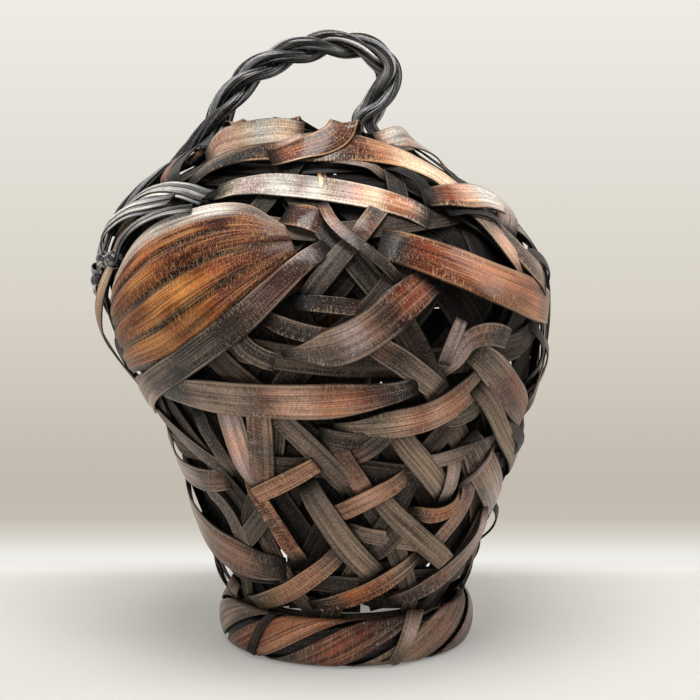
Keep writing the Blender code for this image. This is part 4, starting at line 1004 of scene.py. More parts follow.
# %% Front strip table
# The tones carry painted light too: black and soot where a strip lies in shade or goes under, and peach, cream,
# silver and lilac where it catches the lamps.
FRONT_STRIPS = {
    "polished": [
        ("top_right_curl", 13, "blush silver lilac lilac lilac blush",
         (378, 140, 0.4), (404, 139, 1.4), (430, 149, 1.6), (452, 172, 1)),
        ("fold_right", 19, "umber russet blush silver silver lilac slate",
         (428, 197, 2.0), (452, 204, 4.2), (476, 206, 4.8), (496, 216, 4.6), (505, 233, 2)),
        ("red_square", 17, "soot wine wine umber", (284, 212, 1), (305, 218, 1), (330, 225, 1)),
        ("glossy_right", 10, "slate rose copper amber rose slate",
         (412, 514, 1), (436, 513, 1.6), (452, 505, 1.6), (466, 490, 1)),
        ("glossy_left", 11, "umber russet rose russet slate",
         (247, 474, 1), (262, 500, 1), (282, 532, 1), (300, 562, 1)),
        ("middle_rise", 12, "ash rose blush rose ash",
         (328, 516, 2), (355, 503, 2), (382, 489, 2), (410, 474, 1.4)),
        ("low_rise_left", 12, "umber olive rose rose ash",
         (252, 602, 1.6), (285, 592, 1.6), (315, 573, 1.6), (342, 551, 1.2)),
        ("cut_end_left", 11, "rose rose rose rose",
         (256, 494, 2), (275, 485, 2), (296, 474, 2), (318, 462, 1.4)),
    ],
    "brown": [
        ("thin_double", 7, "soot rose slate slate umber",
         (322, 204, 2.4), (330, 224, 3.4), (345, 240, 3.6), (370, 258, 3.4), (398, 280, 2.6)),
        ("small_rise", 11, "soot slate chestnut slate", (383, 204, 1.6), (370, 222, 1.6), (354, 242, 1.2)),
        ("right_fall", 15, "soot umber ash blush blush rose blush",
         (470, 212, 2), (484, 230, 3), (502, 252, 3), (522, 278, 2.4)),
        ("folded_stub", 13, "soot soot rose lilac umber",
         (512, 340, 1.2), (488, 333, 2), (466, 338, 2.6), (452, 356, 2.4), (440, 374, 1)),
        ("stub_end", 9, "lilac lilac umber", (457, 318, 3), (448, 340, 3), (440, 362, 2.4)),
        ("streaked_fall", 14, "rose umber ash ash",
         (370, 343, 1.2), (395, 357, 1.2), (418, 374, 1.2), (440, 392, 1)),
        ("lower_left_fall", 12, "wine wine umber umber",
         (150, 398, 1), (172, 424, 1), (200, 450, 1), (230, 472, 1)),
        ("wide_left_fall", 15, "umber rose ash rose umber",
         (258, 400, 1.2), (261, 430, 1.4), (263, 460, 1.4), (264, 492, 1.2)),
        ("left_edge_strip", 15, "rose silver lilac umber rose",
         (158, 432, 1.6), (176, 462, 1.6), (200, 476, 1.6), (228, 480, 1.2)),
        ("red_fall", 11, "umber rose rose blush", (333, 440, 1), (346, 462, 1), (358, 480, 1), (368, 496, 1)),
        ("right_small", 9, "ash lilac umber", (454, 452, 1.8), (449, 478, 1.8), (444, 502, 1.4)),
        ("right_level", 10, "lilac ash umber lilac",
         (418, 464, 1), (448, 456, 1), (476, 446, 1), (500, 436, 1)),
        ("low_level", 10, "ash ash ash lilac", (345, 530, 1), (376, 536, 1), (406, 541, 1), (436, 545, 1)),
        ("upper_level", 9, "soot slate slate chestnut", (296, 302, 1), (330, 305, 1), (368, 309, 1)),
        ("upper_level_low", 10, "umber soot slate rose", (264, 318, 1), (296, 330, 1), (334, 338, 1)),
        ("under_fan", 13, "lilac ash umber umber soot umber",
         (140, 388, 1.4), (160, 378, 1.6), (184, 366, 1.6), (212, 345, 1.6), (238, 322, 1)),
        ("neck_left", 10, "black soot black soot",
         (196, 172, 1), (228, 158, 1), (262, 149, 1), (292, 146, 0.4)),
        ("neck_middle", 9, "black soot lilac soot umber soot",
         (300, 150, 0.8), (340, 148, 1), (384, 152, 1), (424, 166, 0.6)),
        ("neck_right", 10, "soot umber lilac rose umber",
         (392, 168, 0.6), (424, 172, 1), (452, 186, 1), (478, 210, 1)),
        ("left_dark_fall", 12, "black soot soot soot", (232, 330, 1), (250, 350, 1), (282, 366, 1)),
        ("lower_slant", 11, "umber rose umber", (420, 555, 1), (440, 535, 1), (462, 505, 1), (470, 470, 1)),
        ("low_fall_left", 11, "slate slate ash", (200, 478, 1), (226, 505, 1), (244, 540, 1), (256, 575, 1)),
        ("foot_left_piece", 9, "ash rose umber", (236, 580, 1.4), (229, 604, 1.8), (224, 622, 2)),
    ],
    "grey": [
        ("pale_rise", 12, "soot slate slate", (356, 238, 1), (334, 264, 1), (306, 298, 1)),
        ("grey_fall_left", 14, "slate ash ash ash", (272, 410, 1), (300, 436, 1), (328, 464, 1), (352, 492, 1)),
        ("long_grey_fall", 15, "soot ash taupe taupe ash",
         (306, 484, 1.2), (326, 512, 2.4), (348, 544, 2.6), (374, 574, 2.2)),
        ("grey_fall_middle", 14, "ash taupe taupe ash",
         (396, 432, 1), (412, 452, 1), (430, 474, 1), (444, 494, 1)),
        ("grey_fall_low", 13, "taupe taupe taupe taupe",
         (378, 496, 2), (400, 519, 2), (424, 542, 2), (448, 566, 1.8)),
        ("right_grey_fall", 13, "ash taupe ash", (474, 384, 3), (488, 408, 3), (500, 436, 3), (510, 470, 1.6)),
        ("thin_rise_right", 5, "ash lilac ash", (456, 486, 3), (474, 466, 3), (494, 442, 2.4)),
        ("mouth_bundle", 8, "slate ash lilac ash slate",
         (316, 158, 1), (345, 161, 1), (368, 166, 1), (388, 176, 1)),
        ("inner_level", 12, "slate umber slate", (318, 436, 1), (350, 440, 1), (384, 440, 1)),
        ("inner_rise", 11, "rose slate ash", (350, 462, 1), (372, 446, 1), (398, 424, 1)),
        ("level_left", 10, "umber umber wine", (262, 300, 1), (282, 290, 1), (302, 276, 1)),
        ("wedge_right", 12, "umber slate ash", (440, 420, 1), (462, 414, 1), (486, 400, 1)),
        ("low_inner_rise", 12, "slate umber ash", (368, 560, 1), (392, 536, 1), (410, 508, 1)),
        ("left_inner_rise", 12, "soot slate slate", (228, 560, 1), (250, 534, 1), (270, 506, 1)),
        ("left_inner_fall", 12, "slate umber ash", (196, 410, 1), (214, 440, 1), (236, 476, 1)),
    ],
    "pale": [
        ("mouth_left_top", 15, "ash copper blush peach silver peach blush",
         (206, 158, 1), (226, 147, 2.8), (250, 140, 3.6), (276, 136, 3.6), (304, 134, 2.4)),
        ("neck_joint", 2.6, "gold cream cream gold", (319, 173, 1.9), (321, 185, 2.2), (321, 198, 1.9)),
        ("neck_joint_shade", 1.6, "umber rose umber", (324, 173, 1.9), (326, 185, 2.2), (326, 198, 1.9)),
    ],
    "black": [
        ("right_loop", 8, "umber soot black", (514, 262, 1), (528, 258, 3.0), (540, 270, 3.2), (546, 292, 1.6)),
        ("leg_cover_a", 9, "black soot black soot black",
         (176, 188, 2), (190, 164, 3.4), (210, 148, 3.6), (244, 141, 1.6)),
        ("leg_cover_b", 6, "umber rose umber soot",
         (166, 190, 2), (178, 172, 3.6), (192, 156, 4.0), (206, 148, 2)),
        ("fold_shadow", 6, "black soot black",
         (446, 215, 3.0), (472, 218, 3.8), (490, 226, 3.8), (500, 240, 2)),
        ("right_low_loop", 8, "ash soot black", (496, 424, 1), (508, 428, 3.4), (511, 442, 3.6), (500, 456, 1)),
        ("dark_curl", 8, "soot black black soot",
         (384, 164, 1), (400, 176, 2.6), (418, 188, 2.6), (432, 206, 1)),
        ("right_thin_a", 5, "black soot", (528, 322, 1), (538, 348, 2.2), (528, 384, 1)),
        ("right_thin_b", 4, "ash lilac slate", (534, 330, 1), (541, 356, 3.2), (524, 398, 1)),
        ("right_thin_c", 5, "black soot black", (492, 500, 1), (497, 520, 3.0), (484, 545, 1)),
        ("left_thin_a", 5, "black black soot", (194, 508, 1), (203, 545, 1.2), (228, 580, 1)),
        ("left_thin_b", 4, "soot black black", (216, 560, 1), (218, 585, 2.0), (222, 612, 1)),
    ],
}
FRONT_FINISHES = {
    "polished": (polished_finish, "polished_bamboo"), "brown": (brown_finish, "brown_bamboo"),
    "grey": (grey_finish, "grey_bamboo"), "pale": (pale_finish, "pale_bamboo"),
    "black": (dark_finish, "dark_bamboo"),
}

# %% Lay the loose strips
TILTS = {"mouth_left_top": -0.5}
CUT_OFF = ("cut_end_left", "stub_end")
for family, (finish, slot) in FRONT_FINISHES.items():
    paths = []
    for number, (name, width, tones, *points) in enumerate(FRONT_STRIPS[family]):
        tilt = chance.uniform(-0.05, 0.05) + TILTS.get(name, 0.0)
        # The reach is also how far painted shade darkens each end.
        reach, depth = (0.003, 0.0) if name in CUT_OFF else (0.009, TUCK_DEPTH)
        paths.append(wall_path(pixel_route(points), tapered(width / 1000, (0.9, 1.0, 0.9)), tones,
                               KINDS["front"] + number + len(family), tilt, spacing=0.003,
                               hidden=(reach, reach), tuck=(depth, depth)))
    lay_strips(f"loose_{family}_strips", paths, finish, slot=slot, crown=0.05)
print("loose strips laid:", sum(len(rows) for rows in FRONT_STRIPS.values()))

# %% [markdown]
# ## The sides and the back
# The photograph doesn't show them. The same maker's hand goes on round the basket, so short
# strips of the same kinds are thrown at fixed random places, mostly slanting, in two layers.

# %% Loose strips round the back
BACK_STRIPS = 64
GOLDEN_SHARE = 0.618
paths = {"brown": [], "grey": [], "polished": []}
for number in range(BACK_STRIPS):
    turn = 0.26 + 0.48 * (number * GOLDEN_SHARE % 1.0)
    rise = chance.uniform(0.12, 0.86)
    slant = chance.choice([-1, 1]) * chance.uniform(0.5, 1.1)
    reach = chance.uniform(0.035, 0.075) / WALL_LENGTH
    widen = 0.75 / (2 * math.pi * profile(rise)[0])
    layer = 1.0 + 1.0 * (number % 3 == 0)
    bend = chance.uniform(-0.02, 0.02)
    points = [(turn + step * math.cos(slant) * reach * WALL_LENGTH * widen * 1.3 + bend * step * step,
               min(rise + step * math.sin(slant) * reach, 0.93), layer)
              for step in (-1.0, -0.4, 0.4, 1.0)]
    family = ("brown", "grey", "grey", "polished", "brown")[number % 5]
    tones = WORN_AND_SHADED_TONES[number % 6] if family != "polished" else "umber russet amber russet umber"
    half_width = tapered(chance.uniform(0.010, 0.016), (0.9, 1.0, 0.9))
    tilt = chance.uniform(-0.04, 0.04)
    paths[family].append(wall_path(points_route(points), half_width, tones, KINDS["back"] + number, tilt,
                                   hidden=(0.012, 0.012), tuck=(TUCK_DEPTH, TUCK_DEPTH)))
for family, found in paths.items():
    finish, slot = FRONT_FINISHES[family]
    lay_strips(f"back_{family}_strips", found, finish, slot=slot, crown=0.05, section_points=12)
print("back strips laid:", sum(len(found) for found in paths.values()))

# %% [markdown]
# ## The fluted fan
# On the left shoulder a length of culm is pressed open. Its flutes spread to the left and run
# together to the right, amber on the ridges, with painted shade that makes the grooves nearly
# black and a painted whitish highlight along the top. It follows a rule in two directions, so it
# is a grid that is bent to the wall. Its underside is the same grid, moved inwards by the thickness.

# %% The fan
FAN_TOP_SHARES = [(-0.176, 0.680), (-0.159, 0.745), (-0.138, 0.783), (-0.097, 0.821), (-0.058, 0.825),
                  (-0.022, 0.785)]
FAN_LOW_SHARES = [(-0.208, 0.500), (-0.128, 0.549), (-0.091, 0.589), (-0.067, 0.630), (-0.048, 0.670),
                  (-0.013, 0.735)]
# Each groove: its place across, depth, half width, and how far it reaches to the right.
FAN_GROOVES = ((0.02, 0.8, 0.030, 1.3), (0.13, 0.4, 0.014, 0.80), (0.24, 0.9, 0.028, 0.95),
               (0.36, 0.45, 0.014, 0.62), (0.48, 1.0, 0.030, 1.30), (0.59, 0.4, 0.014, 0.55),
               (0.70, 0.9, 0.026, 0.85), (0.80, 0.4, 0.014, 0.45))
FAN_RIDGE_HEIGHT = 0.9 * LAYER_STEP
FAN_TONES = ["umber russet amber gold amber gold amber russet chestnut chestnut wine wine",
             "umber russet amber amber russet chestnut chestnut wine chestnut wine wine",
             "rose russet amber russet chestnut chestnut wine chestnut wine wine"]
FAN_COLUMNS = 90
FAN_ROWS = 161


def plain_piece(name, mesh, finish, nodes=(), body="basket"):
    """Put a finished mesh in the scene and tie it to the frame."""
    piece = new_object(name, mesh)
    mesh.materials.append(finish)
    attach(piece, body)
    if nodes:
        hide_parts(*nodes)
    return piece


def bent_sheet(name, columns, rows, spot, tone_at, kind):
    """A sheet over (along, across) in 0 to 1, one strip thick inwards, with grain along it."""
    along, across = np.meshgrid(np.linspace(0, 1, columns), np.linspace(0, 1, rows), indexing="ij")
    along, across = along.ravel(), across.ravel()
    spots, outward = spot(along, across)
    lower = spots - outward * STRIP
    count = len(spots)
    faces = []
    for i in range(columns - 1):
        for j in range(rows - 1):
            a, b = i * rows + j, (i + 1) * rows + j
            c, d = b + 1, a + 1
            faces += [(a, b, c, d), (count + d, count + c, count + b, count + a)]
    rim = [i * rows for i in range(columns)] + [(columns - 1) * rows + j for j in range(1, rows)]
    rim += [i * rows + rows - 1 for i in range(columns - 2, -1, -1)] + [j for j in range(rows - 2, 0, -1)]
    for a, b in zip(rim, rim[1:] + rim[:1]):
        faces.append((b, a, count + a, count + b))
    mesh = bpy.data.meshes.new(name)
    mesh.from_pydata(np.vstack([spots, lower]).tolist(), [], faces)
    width = np.linalg.norm(spots[rows - 1] - spots[0])
    length = np.linalg.norm(np.diff(spots[rows // 2::rows], axis=0), axis=1).sum()
    flat = np.stack([along * length, across * width], axis=1)
    corners = np.array([loop.vertex_index for loop in mesh.loops])
    mesh.uv_layers.new(name="UVMap").data.foreach_set("uv", np.vstack([flat, flat])[corners].ravel())
    tone = np.hstack([np.vstack([tone_at(along, across)] * 2), np.ones((2 * count, 1))])
    note_points(mesh, "tone", "FLOAT_COLOR", "color", tone)
    strip = np.zeros((2 * count, 3))
    strip[:, 0] = np.tile((across * 2 - 1) * 0.7, 2)
    strip[:, 1] = np.repeat([1.0, -1.0], count)
    strip[:, 2] = kind
    note_points(mesh, "strip", "FLOAT_VECTOR", "vector", strip)
    face_outwards(mesh)
    mesh.shade_smooth()
    return mesh


def flute(across, along):
    """0 in a groove, 1 on a ridge. Two grooves run through, the others end on the way right."""
    ridge = np.ones_like(across)
    for place, depth, half_width, reach in FAN_GROOVES:
        cut = np.exp(-((across - place) / half_width) ** 2)
        ridge = ridge - depth * cut * ease((reach - along) / 0.25)
    return np.clip(ridge, 0, 1)


def fan_spot(along, across):
    low = follow(FAN_LOW_SHARES, along)
    top = follow(FAN_TOP_SHARES, along)
    turn, rise = (low + (top - low) * across[:, None]).T
    lobe = 1 - (2 * np.abs((2 * across) % 1 - 0.5)) ** 3
    out = PLAIT_OUT + LAYER_GAP + STRIP + FAN_RIDGE_HEIGHT * (0.6 * flute(across, along) + 0.5 * lobe)
    return wall(turn, rise, out), wall_normal(turn, rise)


def fan_tone(along, across):
    """Golden where it is worn, red-brown to the right, black in the grooves as painted shade, and a painted
    whitish highlight on top.
    """
    lower, upper, crest = (tones_along(tones, along) for tones in FAN_TONES)
    tone = lower + (upper - lower) * ease((across - 0.44) / 0.08)[:, None]
    tone = tone + (crest - tone) * ease((across - 0.66) / 0.08)[:, None]
    # Painted shade: the grooves go nearly black.
    groove = np.clip((0.90 - flute(across, along)) * 1.6, 0, 1)
    dark = from_screen(TONES["black"])
    tone = tone + (dark - tone) * (0.95 * groove)[:, None]
    # Painted highlight: a whitish band along the top edge and a little at the left end.
    highlight_colour = from_screen(TONES["silver"])
    highlight_share = ease((across - 0.81) / 0.10) * (1.0 - 0.75 * ease((along - 0.62) / 0.2))
    highlight_share = highlight_share + ease((0.08 - along) / 0.08) * 0.12
    return tone + (highlight_colour - tone) * np.clip(highlight_share, 0, 1)[:, None]


fan_mesh = bent_sheet("fluted_fan_skin", FAN_COLUMNS, FAN_ROWS, fan_spot, fan_tone, KINDS["fan"])
plain_piece("fluted_fan_skin", fan_mesh, fan_finish, ["fluted_fan"])
print("faces in the fan:", len(fan_mesh.polygons))

# %% [markdown]
# ## The rim
# A hoop inside and a hoop outside grip the tops of the plait, and short bindings lap over
# them. The inner hoop is the dark edge that shows through the mouth.

# %% Rim hoops and bindings
SLIM_WIDTH = 0.013
BINDING_WIDTH = 0.016
RIM_HOOP_SHARE = 0.967
RIM_INNER_OUT = 0.0003 - STRIP
RIM_OUTER_OUT = PLAIT_OUT
for node, out, tones in (("rim_hoop_inner", RIM_INNER_OUT, "soot black umber soot black soot"),
                         ("rim_hoop_outer", RIM_OUTER_OUT, "umber chestnut soot wine umber soot")):
    def rim_route(shares, out=out):
        turn = 0.3 + 1.02 * shares
        return turn, np.full_like(turn, RIM_HOOP_SHARE), out + 0.0012 * ease((shares - 0.95) / 0.04)
    path = wall_path(rim_route, SLIM_WIDTH / 4, tones, KINDS["rim"])
    finish = dark_finish if "inner" in node else brown_finish
    lay_strips(node + "_skin", [path], finish, [node], crown=0.05)

BINDING_SHARES = [(0.030, -0.35, -1.0), (0.029, 0.25, -1.0), (0.027, 0.85, -0.8), (0.024, 1.06, 0.1),
                  (0.018, 1.02, 0.92), (0.008, 0.60, 1.0), (-0.018, 0.00, 1.0), (-0.044, -0.70, 1.0)]
BINDING_FOOT_SHARE = 0.965
BINDING_PLACE_SHARES = {
    "rim_binding_front": (0.022, 3, 1.012, 1.8, "black wine soot chestnut wine chestnut russet wine"),
    "rim_binding_left": (-0.335, 0, 1.000, 1.0, "soot umber rose umber soot"),
    "rim_binding_back": (0.535, 0, 1.000, 1.0, "soot umber chestnut umber"),
}


def binding_path(turn_from, layer, top_share, slant, tones, kind):
    """A binding from the wall's outside up over the rim and down inside the neck."""
    inside = RIM_INNER_OUT - LAYER_GAP
    outside = max(RIM_OUTER_OUT + STRIP + LAYER_GAP, layer_out(layer))
    turn, climb, level = follow(BINDING_SHARES, np.linspace(0, 1, 40)).T
    turn = slant * turn
    rise = BINDING_FOOT_SHARE + climb * (top_share - BINDING_FOOT_SHARE)
    out = inside + (outside - inside) * 0.5 * (level + 1)
    spots = wall(turn + turn_from, rise, out)
    angle = 2 * math.pi * (turn + turn_from)
    around = np.stack([np.cos(angle), np.sin(angle), np.zeros_like(angle)], axis=1)
    outward = unit(np.cross(np.gradient(spots, axis=0), around))
    return Path(spots, outward, BINDING_WIDTH / 2, tones, kind, hidden=(0.006, 0.012))


for number, (node, place) in enumerate(BINDING_PLACE_SHARES.items()):
    path = binding_path(*place, KINDS["binding"] + number)
    lay_strips(node + "_skin", [path], polished_finish, [node], crown=0.06)
print("bindings on the rim:", len(BINDING_PLACE_SHARES))

# %% [markdown]
# ## The handle
# Three bundles of fine dark splints lie side by side on the left shoulder, twist into a rope
# that loops over the mouth, and lie side by side again down the back. Each bundle is built
# as its splints: flat strips round a common line, turning slowly, so the rope has the fine
# ridges that the photograph shows.

# %% Handle line
PLY_RADIUS = 0.0036
HANDLE_RISE = 0.0475
ROPE_TURNS = 2.5
LEFT_ROOT_SHARES = [(-0.268, 0.715), (-0.272, 0.760), (-0.276, 0.808), (-0.284, 0.858),
                    (-0.291, 0.896)]
RIGHT_ROOT_SHARES = [(0.425, 0.915), (0.416, 0.865), (0.406, 0.820), (0.398, 0.780)]
LOOP_SHARES = [(0.000, 0.000), (0.100, 0.090), (0.176, 0.345), (0.281, 0.625), (0.424, 0.814),
               (0.607, 0.948), (0.802, 1.000), (0.981, 0.945), (1.115, 0.786), (1.165, 0.617),
               (1.140, 0.400), (1.085, 0.190), (1.000, 0.000)]
LEFT_ROOT_OUT = PLAIT_OUT + 0.0003 + PLY_RADIUS
ROOT_OUT = LEFT_ROOT_OUT + LAYER_STEP
FOOT_OUT = ROOT_OUT + 1.5 * PLY_RADIUS
LEFT_FOOT_SHARES = (-0.298, 0.925)
left_foot = wall(*LEFT_FOOT_SHARES, FOOT_OUT)
right_foot = wall(0.430, 0.965, FOOT_OUT)
line_points = [wall(turn, rise, LEFT_ROOT_OUT) for turn, rise in LEFT_ROOT_SHARES]
line_points += [left_foot + (right_foot - left_foot) * along + (0, 0, up * HANDLE_RISE)
                for along, up in LOOP_SHARES]
line_points[len(LEFT_ROOT_SHARES)] = wall(*LEFT_FOOT_SHARES, 0.6 * FOOT_OUT)
line_points += [wall(turn, rise, ROOT_OUT) for turn, rise in RIGHT_ROOT_SHARES]
raw_line = follow(line_points, np.linspace(0, 1, FINE_STEPS + 1))
raw_along = walked(raw_line)
HANDLE_STEPS = 216
even_along = np.linspace(0, raw_along[-1], HANDLE_STEPS + 1)
centre_line = np.stack([np.interp(even_along, raw_along, raw_line[:, axis]) for axis in range(3)], axis=1)


def share_at(number):
    """Share of the handle's length at one of its listed points."""
    return raw_along[round(FINE_STEPS * number / (len(line_points) - 1))] / raw_along[-1]


left_root_end = share_at(len(LEFT_ROOT_SHARES))
right_root_start = share_at(len(LEFT_ROOT_SHARES) + len(LOOP_SHARES) - 1)
print("length of the handle:", round(raw_along[-1] * 1000), "mm")


# %% Rope frames
def carried_frames(spots, first_normal):
    """Carry a normal along a line without letting it spin."""
    headings = unit(np.gradient(spots, axis=0))
    normal = np.asarray(first_normal, float)
    normals = []
    for heading in headings:
        normal = normal - heading * (normal @ heading)
        normal /= np.linalg.norm(normal)
        normals.append(normal)
    normals = np.array(normals)
    return normals, np.cross(headings, normals)


rope_normals, rope_sides = carried_frames(centre_line, wall_normal(*LEFT_ROOT_SHARES[0]))
end_normal = wall_normal(*RIGHT_ROOT_SHARES[-1])
lag = math.atan2(end_normal @ rope_sides[-1], end_normal @ rope_normals[-1])
TOTAL_SPIN = 2 * math.pi * ROPE_TURNS + lag
FLATTEN_SHARE = 0.08
rope_shares = np.linspace(0, 1, HANDLE_STEPS + 1)
flat = 1 - ease((rope_shares - left_root_end + FLATTEN_SHARE) / FLATTEN_SHARE)
flat = flat + ease((rope_shares - right_root_start) / FLATTEN_SHARE)
turned = np.clip((rope_shares - left_root_end) / (right_root_start - left_root_end), 0, 1)
spin = TOTAL_SPIN * (0.25 * ease(turned) + 0.75 * turned)
turned_side = np.cos(spin)[:, None] * rope_sides - np.sin(spin)[:, None] * rope_normals
turned_normal = np.cos(spin)[:, None] * rope_normals + np.sin(spin)[:, None] * rope_sides


def ply_line(ply):
    """The middle line of a ply: beside the others at the roots, twisted round them between."""
    spread = (PLY_RADIUS + 0.00015) * 1.12
    sideways = (ply - 1) * spread * (1 + flat + 1.25 * flat * (1 - flat))
    outward = spread * (1 - flat) * (2 / math.sqrt(3) if ply == 1 else -1 / math.sqrt(3))
    return centre_line + turned_side * sideways[:, None] + turned_normal * outward[:, None]


# %% Splint bundles
SPLINTS = 9


def bundle_paths(line, normals, sides, radius, turns, tones, kind):
    """Flat splints round a line; together they make one bundle."""
    along = np.linspace(0, 1, len(line))
    paths = []
    half = math.pi * PLY_RADIUS / SPLINTS
    for number in range(SPLINTS):
        angle = 2 * math.pi * (number / SPLINTS + turns * along)
        radial = np.cos(angle)[:, None] * normals + np.sin(angle)[:, None] * sides
        depth = radius - 0.0011 - 0.0007 * (number % 2)
        paths.append(Path(line + radial * depth, radial, half, tones[number % len(tones)], kind + number))
    return paths


# The pewter and silver in these tones are painted highlights on the black splints.
ROPE_TONES = ["black black iron pewter black black pewter silver iron black",
              "black iron black soot black iron pewter black",
              "iron pewter black black iron silver iron black black",
              "black black iron pewter black iron pewter black"]
for ply in range(3):
    line = ply_line(ply)
    normals, sides = carried_frames(line, turned_normal[0])
    thinner = 1 - 0.25 * np.clip(flat, 0, 1)
    paths = bundle_paths(line, normals, sides, PLY_RADIUS * thinner[:, None], -ROPE_TURNS,
                         ROPE_TONES[ply:] + ROPE_TONES[:ply], KINDS["handle"] + SPLINTS * ply)
    node = f"handle_ply_{ply + 1}"
    lay_strips(node + "_splints", paths, splint_finish, [node], "lacquered_splint", thickness=0.0009,
               crown=0.45, section_points=10, unevenness=0.0006)
print("splints in the handle:", 3 * SPLINTS)

# %% [markdown]
# ## The root on the left shoulder
# The bundles come down from the handle, cross over the end of the fan and are tucked under.
# Two bands of parallel splints and a row of small knots show at the edge of the picture.

# %% Root bands
def splint_band(route, count, width, tones, kind):
    """Parallel splints along one route; the band is laid out across it."""
    shares = even_route(route, 0.003)
    turn, rise, out = route(shares)
    middle = Path(wall(turn, rise, out), wall_normal(turn, rise), width / 2, "soot", kind)
    paths = []
    for number in range(count):
        place = (number + 0.5) / count * 2 - 1
        lift = 0.0007 * (number % 2) + 0.0008 * (1 - place ** 2)
        spots = middle.spots + middle.side * place * width / 2 + middle.outward * lift
        paths.append(Path(spots, middle.outward, 0.55 * width / count, tones[number % len(tones)], kind + number))
    return paths


# The pewter and silver in these tones are painted highlights on the splints and knots.
BAND_TONES = ["iron pewter silver silver silver pewter iron soot black",
              "black iron pewter silver silver pewter iron black",
              "iron silver silver silver silver pewter iron soot black",
              "black iron pewter silver pewter iron black"]
BAND_THICKNESS = 0.0011
ROOT_BAND_SHARES = [(-0.105, 0.832, 2.0), (-0.140, 0.842, 2.0), (-0.180, 0.838, 2.0), (-0.212, 0.815, 2.0),
                    (-0.226, 0.775, 2.0), (-0.224, 0.732, 2.0), (-0.219, 0.695, 2.0)]
band = splint_band(points_route(ROOT_BAND_SHARES), 5, 0.0115, BAND_TONES, KINDS["root band"])
lay_strips("root_band_splints", band, splint_finish, ["root_band"], "lacquered_splint",
           thickness=BAND_THICKNESS, crown=0.2, section_points=10)
lower_band = pixel_route([(176, 208, 3.0), (158, 212, 3.4), (140, 217, 3.8), (125, 226, 3.8), (114, 238, 3.4),
                          (108, 252, 3.0), (110, 266, 2.0)])
wrap = pixel_route([(196, 214, 2.6), (170, 220, 3.6), (148, 232, 4.4), (132, 246, 3.8), (122, 262, 2.0)])
paths = splint_band(lower_band, 5, 0.0125, BAND_TONES[1:] + BAND_TONES[:1], KINDS["lower band"])
paths += splint_band(wrap, 2, 0.0045, BAND_TONES[2:], KINDS["wrap"])
lay_strips("root_wraps", paths, splint_finish, slot="lacquered_splint", thickness=BAND_THICKNESS,
           crown=0.2, section_points=10)


def knot_paths(centre, size, kind):
    """A small lashing: a few turns of splint over each other."""
    centre = np.asarray(centre)
    paths = []
    for number in range(4):
        tip = np.array([chance.uniform(-1, 1), chance.uniform(-1, 1), chance.uniform(-1, 1)])
        tip /= np.linalg.norm(tip)
        first = np.cross(tip, (0.3, 0.2, 1.0))
        first /= np.linalg.norm(first)
        second = np.cross(tip, first)
        angle = np.linspace(0, 2.05 * math.pi, 26)
        radius = size * (0.75 + 0.06 * number)
        spots = centre + radius * (np.cos(angle)[:, None] * first + np.sin(angle)[:, None] * second)
        radial = (spots - centre) / radius
        paths.append(Path(spots, radial, size * 0.42, BAND_TONES[number % 4], kind + number))
    return paths


# Each knot: the pixel where it shows, its size and its layer.
KNOTS = ((119, 262, 0.0046, 2.6), (111, 262, 0.0044, 2.8), (106, 270, 0.0042, 2.8),
         (102, 281, 0.0040, 2.6), (100, 290, 0.0034, 2.4))
paths = []
for number, (across, down, size, layer) in enumerate(KNOTS):
    turn, rise = from_pixel(across, down)
    paths += knot_paths(wall(turn, rise, layer_out(layer)), size, KINDS["knot"] + 5 * number)
lay_strips("root_knots", paths, splint_finish, slot="lacquered_splint", thickness=0.0009, crown=0.1,
           section_points=8)
print("knots at the root:", len(KNOTS))

# %% [markdown]
# ## The foot ring
# The basket stands on a thick ring: a hoop core with flat bands wound round it in a slow
# twist, and two ties that cross the front. The bands are sweeps too, round the ring's oval
# section instead of over the wall.

# %% Foot ring surface
FOOT_X = BODY_RADIUS * FOOT_LEAN_SHARE
FOOT_RADIUS = BODY_RADIUS * 0.556
FOOT_HALF_WIDTH = BODY_RADIUS * 0.047
FOOT_HALF_HEIGHT = RIM_HEIGHT * 0.045
FOOT_MIDDLE = FOOT_HALF_HEIGHT * 0.94 + STRIP


def ring(turn, section, grow=0.0):
    """A point of the ring, outermost at section 0 and highest at section 0.25."""
    angle = 2 * math.pi * np.asarray(section, float)
    radius = FOOT_RADIUS + (FOOT_HALF_WIDTH + grow) * np.cos(angle)
    height = FOOT_MIDDLE + (FOOT_HALF_HEIGHT + grow) * np.sin(angle)
    turn = 2 * math.pi * np.asarray(turn, float)
    return np.stack([FOOT_X + radius * np.sin(turn), -radius * np.cos(turn), height], axis=-1)


print("width across the foot ring:", round(2000 * (FOOT_RADIUS + FOOT_HALF_WIDTH)), "mm")

